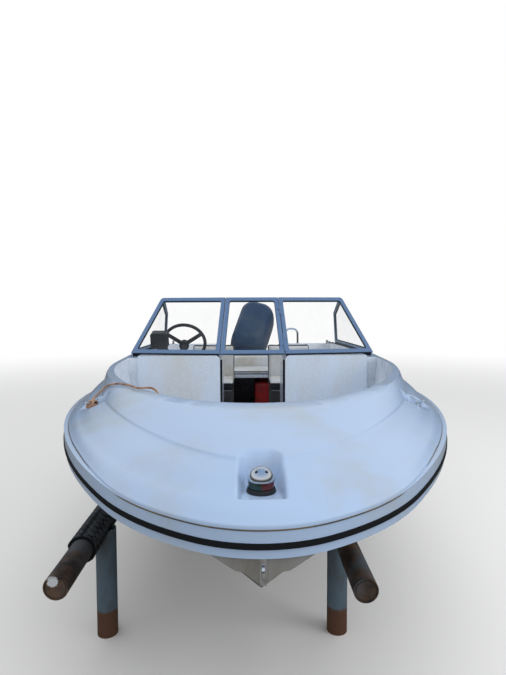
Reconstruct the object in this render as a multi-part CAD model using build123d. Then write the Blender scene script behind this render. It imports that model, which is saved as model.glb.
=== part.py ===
from build123d import *
import math
import os

# Speedboat with an open bow cockpit and a tilted outboard, resting on a rack of pipes.
# Millimetres. x runs to port, y runs aft from the bow tip, z runs up from the ground.
# The finished boat points towards -y and is moved so that y = 0 is the middle of its length.

# Plan of the boat at the rub rail: nose arc, shoulder arc, side arc, then a slow arc to the stern
LENGTH = 4500.0
HALF_BEAM = 980.0
NOSE_RADIUS = 430.0
NOSE_ANGLE = 25.0
SHOULDER_RADIUS = 850.0
SHOULDER_ANGLE = 52.0
STERN_NARROWING = 50.0
OVERRUN = 60.0
MOTOR_OVERHANG = 897.0
MIDDLE_Y = (LENGTH + MOTOR_OVERHANG) / 2

# Sheer line, the height of the rub strip along the side
SHEER_BOW = 1010.0
SHEER_MID = 1071.0
SHEER_STERN = 1020.0

# Small gap between pieces that are bedded on each other
FIT = 0.3

# Transom and the well ahead of the motor
TRANSOM_RAKE = 12.0
TRANSOM_THICK = 60.0
MOTOR_TRANSOM_TOP = 970.0
WELL_HALF = 330.0
WELL_LENGTH = 400.0
WELL_FLOOR = 900.0
WELL_WALL_TOP = 1055.0
WELL_WALL = 40.0
WELL_AFT = LENGTH - TRANSOM_THICK
WELL_FRONT = WELL_AFT - WELL_LENGTH

# Rub rail bands: heights from the sheer line and insets from the plan
RAIL_WIDTH = 55.0
RAIL_TOP = 50.0
STRIP_HALF = 8.0
STRIP_PROUD = 3.0
RAIL_LOW = -34.0
RAIL_LOW_INSET = 3.0
HULL_INSET = 16.0

# Bottom: keel, chine and the strakes on each side
CHINE_Z = 600.0
CHINE_INSET = 200.0
BOTTOM_INSET = 310.0
BOTTOM_Z = 618.0
KEEL_Z = 460.0
STRAKE_START = 800.0
STRAKE_WIDE = 36.0
STRAKE_SHARES = (0.42, 0.75)

# Deck: planes that rise aft by this slope
DECK_RISE = 0.030
BOW_GUNWALE = 125.0
OPENING_NOSE = 730.0
OPENING_RADIUS = 560.0
OPENING_ANGLE = 45.0
OPENING_HALF = HALF_BEAM - BOW_GUNWALE
OPENING_LEVEL = 1220.0
CAVITY_TOP = 1400.0
SEAT_LEVEL = 860.0
SEAT_NOSE = 860.0
SEAT_HALF = OPENING_HALF - 55.0
FOOTWELL_HALF = 280.0
FOOTWELL_FRONT = 1200.0
GUNWALE_STERN = 1190.0
GUNWALE_START = 200.0
GUNWALE_MIDDLE = 1200.0
GUNWALE_STEP = 6.0
GUNWALE_DROP = 12.0

# Moulded pockets and fittings on the foredeck
NAV_Y = 165.0
NAV_FLOOR = 1090.0
NAV_POCKET_HALF = 68.0
NAV_POCKET_FRONT = 20.0
NAV_POCKET_AFT = 285.0
NAV_POCKET_TAPER = 14.0
NAV_POCKET_ROUND = 22.0
NAV_POCKET_DRAFT = 26.0
NAV_RADIUS = 40.0
NAV_BASE_HIGH = 14.0
NAV_LENS_HIGH = 28.0
NAV_DOME = 20.0
CLEAT_INSET = 124.0
CLEAT_Y = 1100.0
CLEAT_FLOOR = 1140.0
CLEAT_POCKET = 62.0
CLEAT_LONG = 120.0
CLEAT_HIGH = 34.0
STERN_FITTING_INSET = 146.0
BOW_EYE_Z = 938.0
BOW_EYE_RADIUS = 16.0
BOW_EYE_ROD = 5.5
BOW_EYE_PLATE = 37.0
BOW_EYE_PLATE_WIDE = 18.0
BOW_EYE_PLATE_THICK = 4.0

GRAB_RAIL_X = HALF_BEAM - 510.0

# Cockpit
GUNWALE_WIDTH = 200.0
COCKPIT_FLARE = 90.0
SOLE = 640.0
LINER = 18.0
COCKPIT_HALF = HALF_BEAM - GUNWALE_WIDTH
COCKPIT_HALF_LOW = COCKPIT_HALF - COCKPIT_FLARE
COCKPIT_AFT = WELL_FRONT - WELL_WALL
SIDE_BREAK_Z = 950.0
SOLE_THICK = 12.0
SOLE_TOP = SOLE + SOLE_THICK + 2 * FIT

# Bulkheads and consoles beside the walkway
BULKHEAD_Y = 2100.0
BULKHEAD_THICK = 40.0
BULKHEAD_TOP = 1296.0
WALKWAY_HALF = 222.0
CONSOLE_DEPTH = 520.0
CONSOLE_WALL = 30.0
DASH_FLAT = 330.0
DASH_DROP = 190.0
DASH_THICK = 35.0
PANEL_ROUND = 34.0

# Windshield
GLASS = 5.0
FRAME_WIDE = 28.0
FRAME_DEEP = 22.0
MULLION_WIDE = 26.0
WS_BASE_Z = BULKHEAD_TOP + 18.0
WS_HIGH = 366.0
WS_TOP_Z = WS_BASE_Z + WS_HIGH
WS_BASE_Y = BULKHEAD_Y + 40.0
WS_RAKE_Y = 240.0
WS_MULLION_BASE = WALKWAY_HALF + 16.0
WS_MULLION_LEAN = 30.0
WS_CORNER_BASE = HALF_BEAM - 148.0
WS_CORNER_LEAN = 170.0
WS_SWEEP = 0.1646
WS_ROUND = 30.0
WING_LENGTH = 1062.0
WING_AFT_X = HALF_BEAM - 190.0
WING_AFT_LEAN = 18.0
WING_AFT_HIGH = 250.0
GATE_GAP = 6.0
HINGE_OFFSET = 18.0
KNUCKLE_RADIUS = 4.5
KNUCKLE_LONG = 48.0
HINGE_PIN = 2.2
HINGE_LEAF = 24.0

# Helm
WHEEL_X = -(HALF_BEAM - 452.0)
WHEEL_Y = BULKHEAD_Y + 540.0
WHEEL_Z = 1350.0
WHEEL_RADIUS = 160.0
WHEEL_RIM = 13.0
WHEEL_TILT = 28.0
COLUMN_LONG = 182.0
INSTRUMENT_X = -(HALF_BEAM - 300.0)
THROTTLE_Y = 2790.0
THROTTLE_Z = 1130.0

# Seats
SEAT_X = 335.0
SEAT_WIDE = 400.0
SEAT_FRONT = BULKHEAD_Y + 660.0
SEAT_DEEP = 360.0
SEAT_BACK_Y = SEAT_FRONT + SEAT_DEEP
SEAT_BACK_THICK = 90.0
SEAT_BOX_TOP = 930.0
SEAT_TOP = 1020.0
SEAT_BACK_TOP = 1310.0
CUSHION_ROUND = 28.0
BENCH_BACK_THICK = 90.0
BENCH_DEEP = 370.0
BENCH_BACK_FRONT = COCKPIT_AFT - BENCH_BACK_THICK - WELL_WALL
BENCH_FRONT = BENCH_BACK_FRONT - BENCH_DEEP
BENCH_TOP = 975.0
BENCH_CUSHION_TOP = 1025.0
BENCH_BACK_TOP = 1150.0
BENCH_WALL = 30.0
BENCH_STORE_HALF = 580.0
TANK_X = 200.0

# Outboard, drawn upright with the tilt axis at its origin
TILT_Y = LENGTH - 30.0
TILT_Z = MOTOR_TRANSOM_TOP + 42.0
MOTOR_TILT = 58.0
MOTOR_STEER = -17.0
SWIVEL_Y = 110.0
TILT_TUBE = 18.0
SWIVEL_TUBE = 32.0
SWIVEL_WEB_Y = 16.0
STEER_ARM_Y = -20.0
SWIVEL_LONG = 286.0
PIVOT_SHAFT = 14.0
CLAMP_X = 105.0
CLAMP_THICK = 26.0
CLAMP_LONG = 230.0
PLATE_Z = -550.0
COWL_BOTTOM = 152.0
COWL_WALL = 4.0
COWL_STEPS = 5
PROP_Y = 380.0
PROP_Z = PLATE_Z - 195.0
PROP_RADIUS = 166.0
PROP_HUB = 38.0
PROP_SHAFT = 11.0
BORE_GAP = 0.3

# Rack of pipes
PIPE_RADIUS = 50.0
PIPE_WALL = 5.0
POST_FRONT = 1160.0
POST_AFT = LENGTH - 750.0
POST_Y = (POST_FRONT, POST_AFT)
PORT_POST_X = HALF_BEAM - 572.0
PORT_BEAM_X = HALF_BEAM - 556.0
STARBOARD_POST_X = -(HALF_BEAM - 240.0)
STARBOARD_BEAM_X = -(HALF_BEAM - 195.0)
BEAM_FRONT = 640.0
BEAM_AFT = LENGTH - 400.0
TREAD_THICK = 16.0
TREAD_FRONT = 940.0
TREAD_AFT = BEAM_AFT - 100.0
TREAD_RADIUS = PIPE_RADIUS + TREAD_THICK
PORT_BEAM_Z = (KEEL_Z + (BOTTOM_Z - KEEL_Z) * PORT_BEAM_X / (HALF_BEAM - BOTTOM_INSET)
               - (PIPE_RADIUS + FIT) * math.hypot(HALF_BEAM - BOTTOM_INSET, BOTTOM_Z - KEEL_Z)
               / (HALF_BEAM - BOTTOM_INSET))
STARBOARD_BEAM_Z = CHINE_Z - TREAD_RADIUS - FIT

# Mooring rope: from the starboard bow cleat over the edge of the cockpit to a coil on the bow seat
ROPE = 9.0
COIL_X = -425.0
COIL_Y = 1180.0
COIL_RADIUS = 50.0
COIL_TURNS_WIDE = 2
COIL_TURNS_HIGH = 3
ROPE_ROUTE = [
    # x, y, z of the rope's middle line
    (-782, 1115, 1157),
    (-786, 1147, 1165),
    (-790, 1180, 1182),
    (-781, 1213, 1191),
    (-754, 1225, 1219),
    (-727, 1204, 1238),
    (-703, 1173, 1247),
    (-673, 1143, 1254),
    (-640, 1114, 1259),
    (-606, 1090, 1257),
    (-574, 1056, 1257),
    (-553, 1018, 1256),
    (-528, 986, 1258),
    (-496, 966, 1262),
    (-464, 961, 1264),
    (-438, 965, 1246),
    (-436, 969, 1210),
    (-439, 972, 1168),
    (-432, 979, 1124),
    (-423, 987, 1079),
    (-415, 996, 1034),
    (-406, 1003, 989),
    (-398, 1014, 945),
    (-391, 1026, 905),
    (-387, 1053, 876),
    (-385, 1088, 867),
    (-378, 1124, 865.2),
    (-376.5, 1153, 865.2),
    (-375, 1179, 865.2),
]


def sin(a):
    return math.sin(math.radians(a))


def cos(a):
    return math.cos(math.radians(a))


def polygon(points, corners=()):
    """Face with straight sides; corners lists a point's index and its rounding."""
    face = Face(Wire(Polyline(*points, close=True).edges()))
    for index, radius in corners:
        x, y = points[index]
        vertex = face.vertices().sort_by_distance(Vector(x, y, 0))[0]
        face = fillet(vertex, radius)
    return face


def across_x(face, x0, x1):
    """Face drawn as (y, z), extruded along the breadth."""
    plane = Plane(origin=(x0, 0, 0), x_dir=(0, 1, 0), z_dir=(1, 0, 0))
    return extrude(plane * face, amount=x1 - x0, dir=(1, 0, 0))


def along_y(face, y0, y1):
    """Face drawn as (x, z), extruded along the length."""
    plane = Plane(origin=(0, y0, 0), x_dir=(1, 0, 0), z_dir=(0, -1, 0))
    return extrude(plane * face, amount=y1 - y0, dir=(0, 1, 0))


def block(x0, x1, y0, y1, z0, z1):
    """Box between two corners."""
    return Pos((x0 + x1) / 2, (y0 + y1) / 2, (z0 + z1) / 2) * Box(
        abs(x1 - x0), abs(y1 - y0), abs(z1 - z0))


def outline_points(nose, half, r1, a1, r2, a2):
    """Corner and middle points of the port half of a plan outline, bow to stern."""
    p1 = (r1 * sin(a1), nose + r1 * (1 - cos(a1)))
    am = (a1 + a2) / 2
    m2 = (p1[0] + r2 * (sin(am) - sin(a1)), p1[1] + r2 * (cos(a1) - cos(am)))
    p2 = (p1[0] + r2 * (sin(a2) - sin(a1)), p1[1] + r2 * (cos(a1) - cos(a2)))
    r3 = (half - p2[0]) / (1 - sin(a2))
    am = (a2 + 90) / 2
    m3 = (p2[0] + r3 * (sin(am) - sin(a2)), p2[1] + r3 * (cos(a2) - cos(am)))
    p3 = (half, p2[1] + r3 * cos(a2))
    run = LENGTH + OVERRUN - p3[1]
    r4 = (run ** 2 + STERN_NARROWING ** 2) / (2 * STERN_NARROWING)
    turn = math.degrees(math.asin(run / r4))
    m4 = (half - r4 * (1 - cos(turn / 2)), p3[1] + r4 * sin(turn / 2))
    p4 = (half - STERN_NARROWING, LENGTH + OVERRUN)
    return p1, m2, p2, m3, p3, m4, p4


def outline(nose, half, r1, a1, r2, a2):
    """Closed plan outline in the xy plane."""
    p1, m2, p2, m3, p3, m4, p4 = outline_points(nose, half, r1, a1, r2, a2)
    edges = [ThreePointArc((-p1[0], p1[1]), (0, nose), p1)]
    for a, m, b in ((p1, m2, p2), (p2, m3, p3), (p3, m4, p4)):
        edges.append(ThreePointArc(a, m, b))
    edges.append(Line(p4, (-p4[0], p4[1])))
    for a, m, b in ((p3, m4, p4), (p2, m3, p3), (p1, m2, p2)):
        edges.append(ThreePointArc((-b[0], b[1]), (-m[0], m[1]), (-a[0], a[1])))
    return Wire(edges)


def rail_outline(inset):
    """Plan outline of the boat, moved inwards by the inset."""
    return outline(inset, HALF_BEAM - inset, NOSE_RADIUS - inset, NOSE_ANGLE,
                   SHOULDER_RADIUS - inset, SHOULDER_ANGLE)


def plan_half(y):
    """Half breadth of the boat at a distance from the bow."""
    p1, m2, p2, m3, p3, m4, p4 = outline_points(
        0, HALF_BEAM, NOSE_RADIUS, NOSE_ANGLE, SHOULDER_RADIUS, SHOULDER_ANGLE)
    if y <= 0:
        return 0.0
    if y < p1[1]:
        return math.sqrt(2 * NOSE_RADIUS * y - y * y)
    if y < p2[1]:
        c = cos(NOSE_ANGLE) - (y - p1[1]) / SHOULDER_RADIUS
        return p1[0] + SHOULDER_RADIUS * (math.sqrt(1 - c * c) - sin(NOSE_ANGLE))
    if y < p3[1]:
        r3 = (HALF_BEAM - p2[0]) / (1 - sin(SHOULDER_ANGLE))
        c = cos(SHOULDER_ANGLE) - (y - p2[1]) / r3
        return p2[0] + r3 * (math.sqrt(1 - c * c) - sin(SHOULDER_ANGLE))
    return HALF_BEAM - STERN_NARROWING * ((y - p3[1]) / (LENGTH + OVERRUN - p3[1])) ** 2


def prism(wire, low, high):
    """Upright prism of a plan outline."""
    return Pos(0, 0, low) * extrude(Face(wire), amount=high - low, dir=(0, 0, 1))


def transom_y(z):
    """Distance aft of the raked transom at a height."""
    return LENGTH - (SHEER_STERN - z) * math.tan(math.radians(TRANSOM_RAKE))


def sheer_z(y):
    """Height of the sheer arc."""
    arc = ThreePointArc((0, SHEER_BOW), (LENGTH / 2, SHEER_MID), (LENGTH, SHEER_STERN))
    c = arc.arc_center
    return c.Y + math.sqrt(arc.radius ** 2 - (y - c.X) ** 2)


def side_profile(low, high):
    """Area between two heights above the sheer line; None stands for far below or above."""
    front = -OVERRUN
    back = LENGTH + OVERRUN
    edges = []
    ends = []
    for offset, far in ((low, 200.0), (high, 1500.0)):
        if offset is None:
            edges.append(Line((front, far), (back, far)))
            ends.append((far, far))
        else:
            heights = [sheer_z(y) + offset for y in (front, LENGTH / 2, back)]
            edges.append(ThreePointArc((front, heights[0]), (LENGTH / 2, heights[1]), (back, heights[2])))
            ends.append((heights[0], heights[2]))
    edges.append(Line((front, ends[0][0]), (front, ends[1][0])))
    edges.append(Line((back, ends[0][1]), (back, ends[1][1])))
    return Face(Wire(edges))


def ahead_of_transom(beyond=0.0):
    """Space in front of the raked transom, or of a plane that lies beyond it."""
    low = transom_y(100) + beyond
    high = transom_y(1600) + beyond
    return across_x(polygon([(-200, 100), (low, 100), (high, 1600), (-200, 1600)]), -1300, 1300)


def band(low, high):
    return across_x(side_profile(low, high), -1300, 1300) & ahead_of_transom()


def ring(outer, inner, low, high):
    """Moulding that follows the sheer around the boat."""
    shape = prism(rail_outline(outer), 800, 1300) - prism(rail_outline(inner), 700, 1400)
    return shape & band(low, high)


# Cockpit cavity, used to cut the hull and deck and to seat the pieces inside

def opening_outline(nose, half, r):
    return outline(nose, half, r, OPENING_ANGLE - 15, r, OPENING_ANGLE)


def cavity(grow):
    """Inside of the cockpits, with walls and floors moved outwards by the value."""
    low = SEAT_LEVEL - grow
    aft = BULKHEAD_Y + BULKHEAD_THICK
    top = opening_outline(OPENING_NOSE - grow, OPENING_HALF + grow, OPENING_RADIUS + grow)
    bottom = opening_outline(SEAT_NOSE - grow, SEAT_HALF + grow, OPENING_RADIUS + grow)
    bow = Solid.make_loft([Pos(0, 0, low) * bottom, Pos(0, 0, OPENING_LEVEL) * top], True)
    bow = bow + prism(top, OPENING_LEVEL, CAVITY_TOP)
    bow = bow & block(-1200, 1200, 0, aft, 200, 1800)
    half = FOOTWELL_HALF + grow
    well = block(-half, half, FOOTWELL_FRONT - grow, aft, SOLE - grow, SEAT_LEVEL + 10)
    return bow + well + main_cavity(grow)


def main_cavity(grow):
    """Main cockpit: sloping sides, square ends."""
    low = COCKPIT_HALF_LOW + grow
    half = COCKPIT_HALF + grow
    section = polygon([(-low, SOLE - grow), (low, SOLE - grow), (half, SIDE_BREAK_Z), (half, CAVITY_TOP),
                       (-half, CAVITY_TOP), (-half, SIDE_BREAK_Z)])
    return along_y(section, BULKHEAD_Y - grow, COCKPIT_AFT + grow)


# Hull

HULL_STATIONS = [
    # y, keel z, bottom edge's inset from the side, its z, chine's inset, its z
    (-30, 925, -40, 945, -60, 950),
    (150, 815, 272, 905, 257, 902),
    (400, 672, 379, 835, 354, 828),
    (800, 478, 405, 722, 365, 712),
    (1300, KEEL_Z, 375, 640, 310, 628),
    (2100, KEEL_Z, 330, BOTTOM_Z, 235, 604),
    (3300, KEEL_Z, BOTTOM_INSET, BOTTOM_Z, CHINE_INSET, CHINE_Z),
    (LENGTH + OVERRUN, KEEL_Z, BOTTOM_INSET, BOTTOM_Z, CHINE_INSET + 10, CHINE_Z),
]


def side_at(y):
    """Half breadth that the hull stations are measured from: the plan forward, the beam aft."""
    return plan_half(y) if y < BULKHEAD_Y else HALF_BEAM


def hull_stations():
    """Rows of y, keel z, bottom half breadth and z, chine half breadth and z."""
    return [(y, keel, side_at(y) - bi, bz, side_at(y) - ci, cz)
            for y, keel, bi, bz, ci, cz in HULL_STATIONS]


def hull_section(y, keel, inner_half, inner_z, chine_half, chine_z, side_half):
    points = [(0, keel), (inner_half, inner_z), (chine_half, chine_z), (side_half, 1100),
              (-side_half, 1100), (-chine_half, chine_z), (-inner_half, inner_z)]
    wire = Wire(Polyline(*points, close=True).edges())
    return Plane(origin=(0, y, 0), x_dir=(1, 0, 0), z_dir=(0, -1, 0)) * wire


def hull_body():
    sections = []
    for y, keel, ih, iz, ch, cz in hull_stations():
        side = max(plan_half(y), 330.0) + 6
        sections.append(hull_section(y, keel, ih, iz, ch, cz, side))
    return Solid.make_loft(sections, True)


def strakes():
    """Lifting strakes, a step along the bottom that sheds spray, two on each side."""
    rows = [row for row in hull_stations() if row[0] >= STRAKE_START]
    shapes = []
    for share in STRAKE_SHARES:
        for side in (-1, 1):
            wires = []
            for y, keel, half, z, chine_half, chine_z in rows:
                x = share * half
                low = keel + share * (z - keel)
                rise = (z - keel) / half
                pts = [(side * (x - 4), low + 8), (side * x, low - 1), (side * (x + STRAKE_WIDE), low),
                       (side * (x + STRAKE_WIDE), low + rise * STRAKE_WIDE + 8)]
                wire = Wire(Polyline(*pts, close=True).edges())
                wires.append(Plane(origin=(0, y, 0), x_dir=(1, 0, 0), z_dir=(0, -1, 0)) * wire)
            shapes.append(Solid.make_loft(wires, True))
    return shapes


def hull():
    body = hull_body()
    below = body & prism(rail_outline(HULL_INSET), 300, 1300) & band(None, RAIL_LOW)
    flange = prism(rail_outline(RAIL_WIDTH), 300, 1300) & band(RAIL_LOW - 1, 0)
    shell = below + (flange & body)
    for strake in strakes():
        shell = shell + (strake & ahead_of_transom())
    return shell - cavity(LINER) - motor_well()


def motor_well():
    """Well ahead of the motor and the low part of the transom where it is clamped."""
    well = block(-WELL_HALF, WELL_HALF, WELL_FRONT, WELL_AFT, WELL_FLOOR, CAVITY_TOP)
    wall = block(-WELL_HALF, WELL_HALF, WELL_FRONT - WELL_WALL - LINER - 30, WELL_FRONT + 30,
                 WELL_WALL_TOP, CAVITY_TOP)
    notch = block(-WELL_HALF, WELL_HALF, WELL_AFT - 30, LENGTH + 200, MOTOR_TRANSOM_TOP, CAVITY_TOP)
    return well + notch + wall


def deck_plane(z):
    tilt = math.atan(DECK_RISE)
    return Plane(origin=(0, 0, z), x_dir=(1, 0, 0), z_dir=(0, -math.sin(tilt), math.cos(tilt)))


def gunwale_arc():
    return ThreePointArc((BULKHEAD_Y + GUNWALE_START, BULKHEAD_TOP - GUNWALE_STEP),
                         (BULKHEAD_Y + GUNWALE_MIDDLE, BULKHEAD_TOP - GUNWALE_DROP),
                         (LENGTH + 100, GUNWALE_STERN))


def gunwale_z(y):
    """Height of the aft deck."""
    arc = gunwale_arc()
    c = arc.arc_center
    return c.Y + math.sqrt(arc.radius ** 2 - (y - c.X) ** 2)


DECK_LEVELS = [
    # height at the bow, nose, inset from the beam, nose radius, angle, shoulder radius, angle
    (930, 55, 55, 375, 25, 795, 52),
    (1088, 60, 60, 370, 25, 790, 52),
    (1146, 226, 75, 250, 35, 900, 50),
    (1159, 238, 79, 248, 35, 880, 50),
    (1215, 640, 95, 560, 30, 560, 45),
]


def deck_level(z, nose, inset, r1, a1, r2, a2):
    return deck_plane(z) * outline(nose, HALF_BEAM - inset, r1, a1, r2, a2)


def deck():
    body = Solid.make_loft([deck_level(*row) for row in DECK_LEVELS], True)
    top = BULKHEAD_TOP + 34
    join = (BULKHEAD_Y + GUNWALE_START, BULKHEAD_TOP - GUNWALE_STEP)
    edges = [Line((-200, 900), (-200, top)), Line((-200, top), join), gunwale_arc(),
             Line((LENGTH + 100, GUNWALE_STERN), (LENGTH + 100, 900)), Line((LENGTH + 100, 900), (-200, 900))]
    body = body & across_x(Face(Wire(edges)), -1300, 1300) & band(0, None)
    body = body - cavity(0) - motor_well() - nav_pocket()
    for side in (-1, 1):
        body = body - cleat_pocket(side)
    return body


def nav_pocket():
    """Scoop in the foredeck that holds the bow light: a tapered floor with drafted walls."""
    wires = []
    for z, grow in ((NAV_FLOOR, 0.0), (NAV_FLOOR + 100, NAV_POCKET_DRAFT)):
        front = NAV_POCKET_HALF + grow
        back = NAV_POCKET_HALF - NAV_POCKET_TAPER + grow
        aft = NAV_POCKET_AFT + grow
        face = polygon([(-front, NAV_POCKET_FRONT), (front, NAV_POCKET_FRONT), (back, aft), (-back, aft)],
                       [(2, NAV_POCKET_ROUND + grow), (3, NAV_POCKET_ROUND + grow)])
        wires.append(Pos(0, 0, z) * face.wire())
    return Solid.make_loft(wires, True)


def cleat_x():
    return plan_half(CLEAT_Y) - CLEAT_INSET


def cleat_pocket(side):
    """Round pocket with a flat floor and drafted wall."""
    return Pos(side * cleat_x(), CLEAT_Y, CLEAT_FLOOR + 60) * Cone(CLEAT_POCKET, CLEAT_POCKET + 36, 120)


def cockpit_liner():
    return (cavity(LINER) - cavity(0)) & band(None, 0)


def rail_upper():
    return ring(0, RAIL_WIDTH, STRIP_HALF, RAIL_TOP)


def rub_strip():
    return ring(-STRIP_PROUD, RAIL_WIDTH, -STRIP_HALF, STRIP_HALF)


def rail_lower():
    return ring(RAIL_LOW_INSET, RAIL_WIDTH, RAIL_LOW, -STRIP_HALF)


def cockpit_sole():
    half = COCKPIT_HALF_LOW - 1
    return block(-half, half, BULKHEAD_Y + 1, COCKPIT_AFT - 1, SOLE + FIT, SOLE + FIT + SOLE_THICK)


def console(side):
    """Bulkhead with a rounded inner corner, inner wall and dash of one console; side is 1 for port."""
    y0 = BULKHEAD_Y + 1
    inner = WALKWAY_HALF
    outer = COCKPIT_HALF + 40
    panel = polygon([(side * inner, SOLE_TOP), (side * outer, SOLE_TOP), (side * outer, BULKHEAD_TOP),
                     (side * inner, BULKHEAD_TOP)], [(3, PANEL_ROUND)])
    wall = along_y(panel, y0, y0 + BULKHEAD_THICK)
    y1 = y0 + DASH_FLAT
    y2 = y0 + CONSOLE_DEPTH
    low = BULKHEAD_TOP - DASH_DROP
    cheek = polygon([(y0, SOLE_TOP), (y2, SOLE_TOP), (y2, low), (y1, BULKHEAD_TOP), (y0, BULKHEAD_TOP)],
                    [(2, 40), (3, 60)])
    side_wall = across_x(cheek, *sorted((side * inner, side * (inner + CONSOLE_WALL))))
    dash = polygon([(y0, BULKHEAD_TOP), (y1, BULKHEAD_TOP), (y2, low), (y2 - 30, low - 20),
                    (y1 - 30, BULKHEAD_TOP - DASH_THICK), (y0, BULKHEAD_TOP - DASH_THICK)],
                   [(1, 60), (4, 30)])
    top = across_x(dash, *sorted((side * (inner + 6), side * outer)))
    trim = along_y(panel, y0, y2 + 1)
    return ((wall + side_wall + top) & trim) & main_cavity(-FIT)


# Windshield

def corner(side, which):
    """Corner points of the windshield: mullion, corner post and aft post, low and high."""
    mullion_high = WS_MULLION_BASE - WS_MULLION_LEAN
    corner_high = WS_CORNER_BASE - WS_CORNER_LEAN
    aft_y = WS_BASE_Y + WS_SWEEP * (WS_CORNER_BASE - WS_MULLION_BASE) + WING_LENGTH
    points = {
        "mullion_low": (WS_MULLION_BASE, WS_BASE_Y, WS_BASE_Z),
        "mullion_high": (mullion_high, WS_BASE_Y + WS_RAKE_Y, WS_TOP_Z),
        "corner_low": (WS_CORNER_BASE, WS_BASE_Y + WS_SWEEP * (WS_CORNER_BASE - WS_MULLION_BASE), WS_BASE_Z),
        "corner_high": (corner_high, WS_BASE_Y + WS_RAKE_Y + WS_SWEEP * (corner_high - mullion_high), WS_TOP_Z),
        "aft_low": (WING_AFT_X, aft_y, WS_BASE_Z + 2),
        "aft_high": (WING_AFT_X - WING_AFT_LEAN, aft_y - 20, WS_BASE_Z + 2 + WING_AFT_HIGH),
    }
    x, y, z = points[which]
    return Vector(side * x, y, z)


def bar(a, b, wide, deep, normal, over=0.0):
    """Rectangular bar between two points; wide lies in the glass, deep along its normal."""
    along = (b - a).normalized()
    start = a - along * over
    length = (b - a).length + 2 * over
    plane = Plane(origin=start, x_dir=along.cross(normal).normalized(), z_dir=along)
    return extrude(plane * Rectangle(wide, deep), amount=length, dir=along)


def pane_plane(a, b, d):
    """Plane of a flat pane with its origin at corner a and x towards corner b."""
    x_dir = (b - a).normalized()
    return Plane(origin=a, x_dir=x_dir, z_dir=x_dir.cross(d - a).normalized())


def flat_outline(points, grow, corners=()):
    """Outline of a flat pane, moved outwards, in the plane of its first corners."""
    plane = pane_plane(points[0], points[1], points[3])
    local = [plane.to_local_coords(p) for p in points]
    face = polygon([(p.X, p.Y) for p in local])
    face = offset(face, amount=grow, kind=Kind.INTERSECTION)
    for index, radius in corners:
        near = Vector(local[index].X, local[index].Y, 0)
        face = fillet(face.vertices().sort_by_distance(near)[0], radius)
    return plane, face


def flat_slab(points, grow, thick, corners=()):
    """Slab of a flat pane's outline, half of its thickness on each side of the pane."""
    plane, face = flat_outline(points, grow, corners)
    return extrude(plane * face, amount=thick / 2, both=True)


def twisted_pane(a, b, c, d, thick):
    """Pane between four corners that are not quite in one plane."""
    n = (b - a).cross(d - a).normalized() * (thick / 2)
    first = Wire(Polyline(a - n, d - n, d + n, a + n, close=True).edges())
    second = Wire(Polyline(b - n, c - n, c + n, b + n, close=True).edges())
    return Solid.make_loft([first, second], True)


def shrink(points, amount):
    """Move the corners of a pane towards its middle."""
    mid = sum(points, Vector(0, 0, 0)) * (1 / len(points))
    return [p + (mid - p).normalized() * amount for p in points]


def front_corners(side):
    return [corner(side, k) for k in ("mullion_low", "corner_low", "corner_high", "mullion_high")]


def wing_corners(side):
    return [corner(side, k) for k in ("corner_low", "aft_low", "aft_high", "corner_high")]


def gate_corners():
    gap = MULLION_WIDE / 2 + GATE_GAP + MULLION_WIDE / 2
    low = corner(1, "mullion_low") - Vector(gap, 0, 0)
    high = corner(1, "mullion_high") - Vector(gap, 0, 0)
    return [Vector(-low.X, low.Y, low.Z), low, high, Vector(-high.X, high.Y, high.Z)]


def framed(points, round_at):
    """Frame of a flat pane, mitred around it, with one rounded corner."""
    half = FRAME_WIDE / 2
    outside = flat_slab(points, half, FRAME_DEEP, [(k, WS_ROUND) for k in round_at])
    inside = flat_slab(points, -half, FRAME_DEEP + 10, [(k, WS_ROUND / 2) for k in (0, 1, 2, 3)])
    return outside - inside


def windshield_frame(side):
    front = framed(front_corners(side), (2,))
    cl, al, ah, ch = wing_corners(side)
    w = (al - cl).cross(ch - cl).normalized()
    frame = front + bar(cl, ch, FRAME_WIDE - 6, FRAME_DEEP, w, 4)
    frame = frame + bar(cl, al, FRAME_WIDE, FRAME_DEEP, w, 8)
    frame = frame + bar(ch, ah, FRAME_WIDE - 6, FRAME_DEEP, w, 8)
    frame = frame + bar(al, ah, FRAME_WIDE - 6, FRAME_DEEP, w, 8)
    frame = frame - flat_slab(front_corners(side), -FRAME_WIDE / 2 + 6 + FIT, GLASS + 2 * FIT)
    wing = shrink([cl, al, ah, ch], 8 - FIT)
    frame = frame - twisted_pane(*wing, GLASS + 2 * FIT)
    if side == 1:
        frame = frame + hinge_leaves(1)
    return frame


def windshield_glass(side):
    return flat_slab(front_corners(side), -FRAME_WIDE / 2 + 6, GLASS)


def side_glass(side):
    return twisted_pane(*shrink(wing_corners(side), 8), GLASS)


def gate_frame():
    return framed(gate_corners(), ()) - flat_slab(
        gate_corners(), -FRAME_WIDE / 2 + 6 + FIT, GLASS + 2 * FIT) + hinge_leaves(0)


def gate_glass():
    return flat_slab(gate_corners(), -FRAME_WIDE / 2 + 6, GLASS)


def hinge_line():
    """Foot of the gate's hinge axis, its direction, and the glass normal that points ahead."""
    low = corner(1, "mullion_low")
    high = corner(1, "mullion_high")
    ahead = (corner(1, "corner_low") - low).cross(high - low).normalized()
    if ahead.Y > 0:
        ahead = ahead * -1
    along = (high - low).normalized()
    foot = low - Vector((MULLION_WIDE + GATE_GAP) / 2, 0, 0) + ahead * HINGE_OFFSET
    return foot, along, ahead


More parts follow.
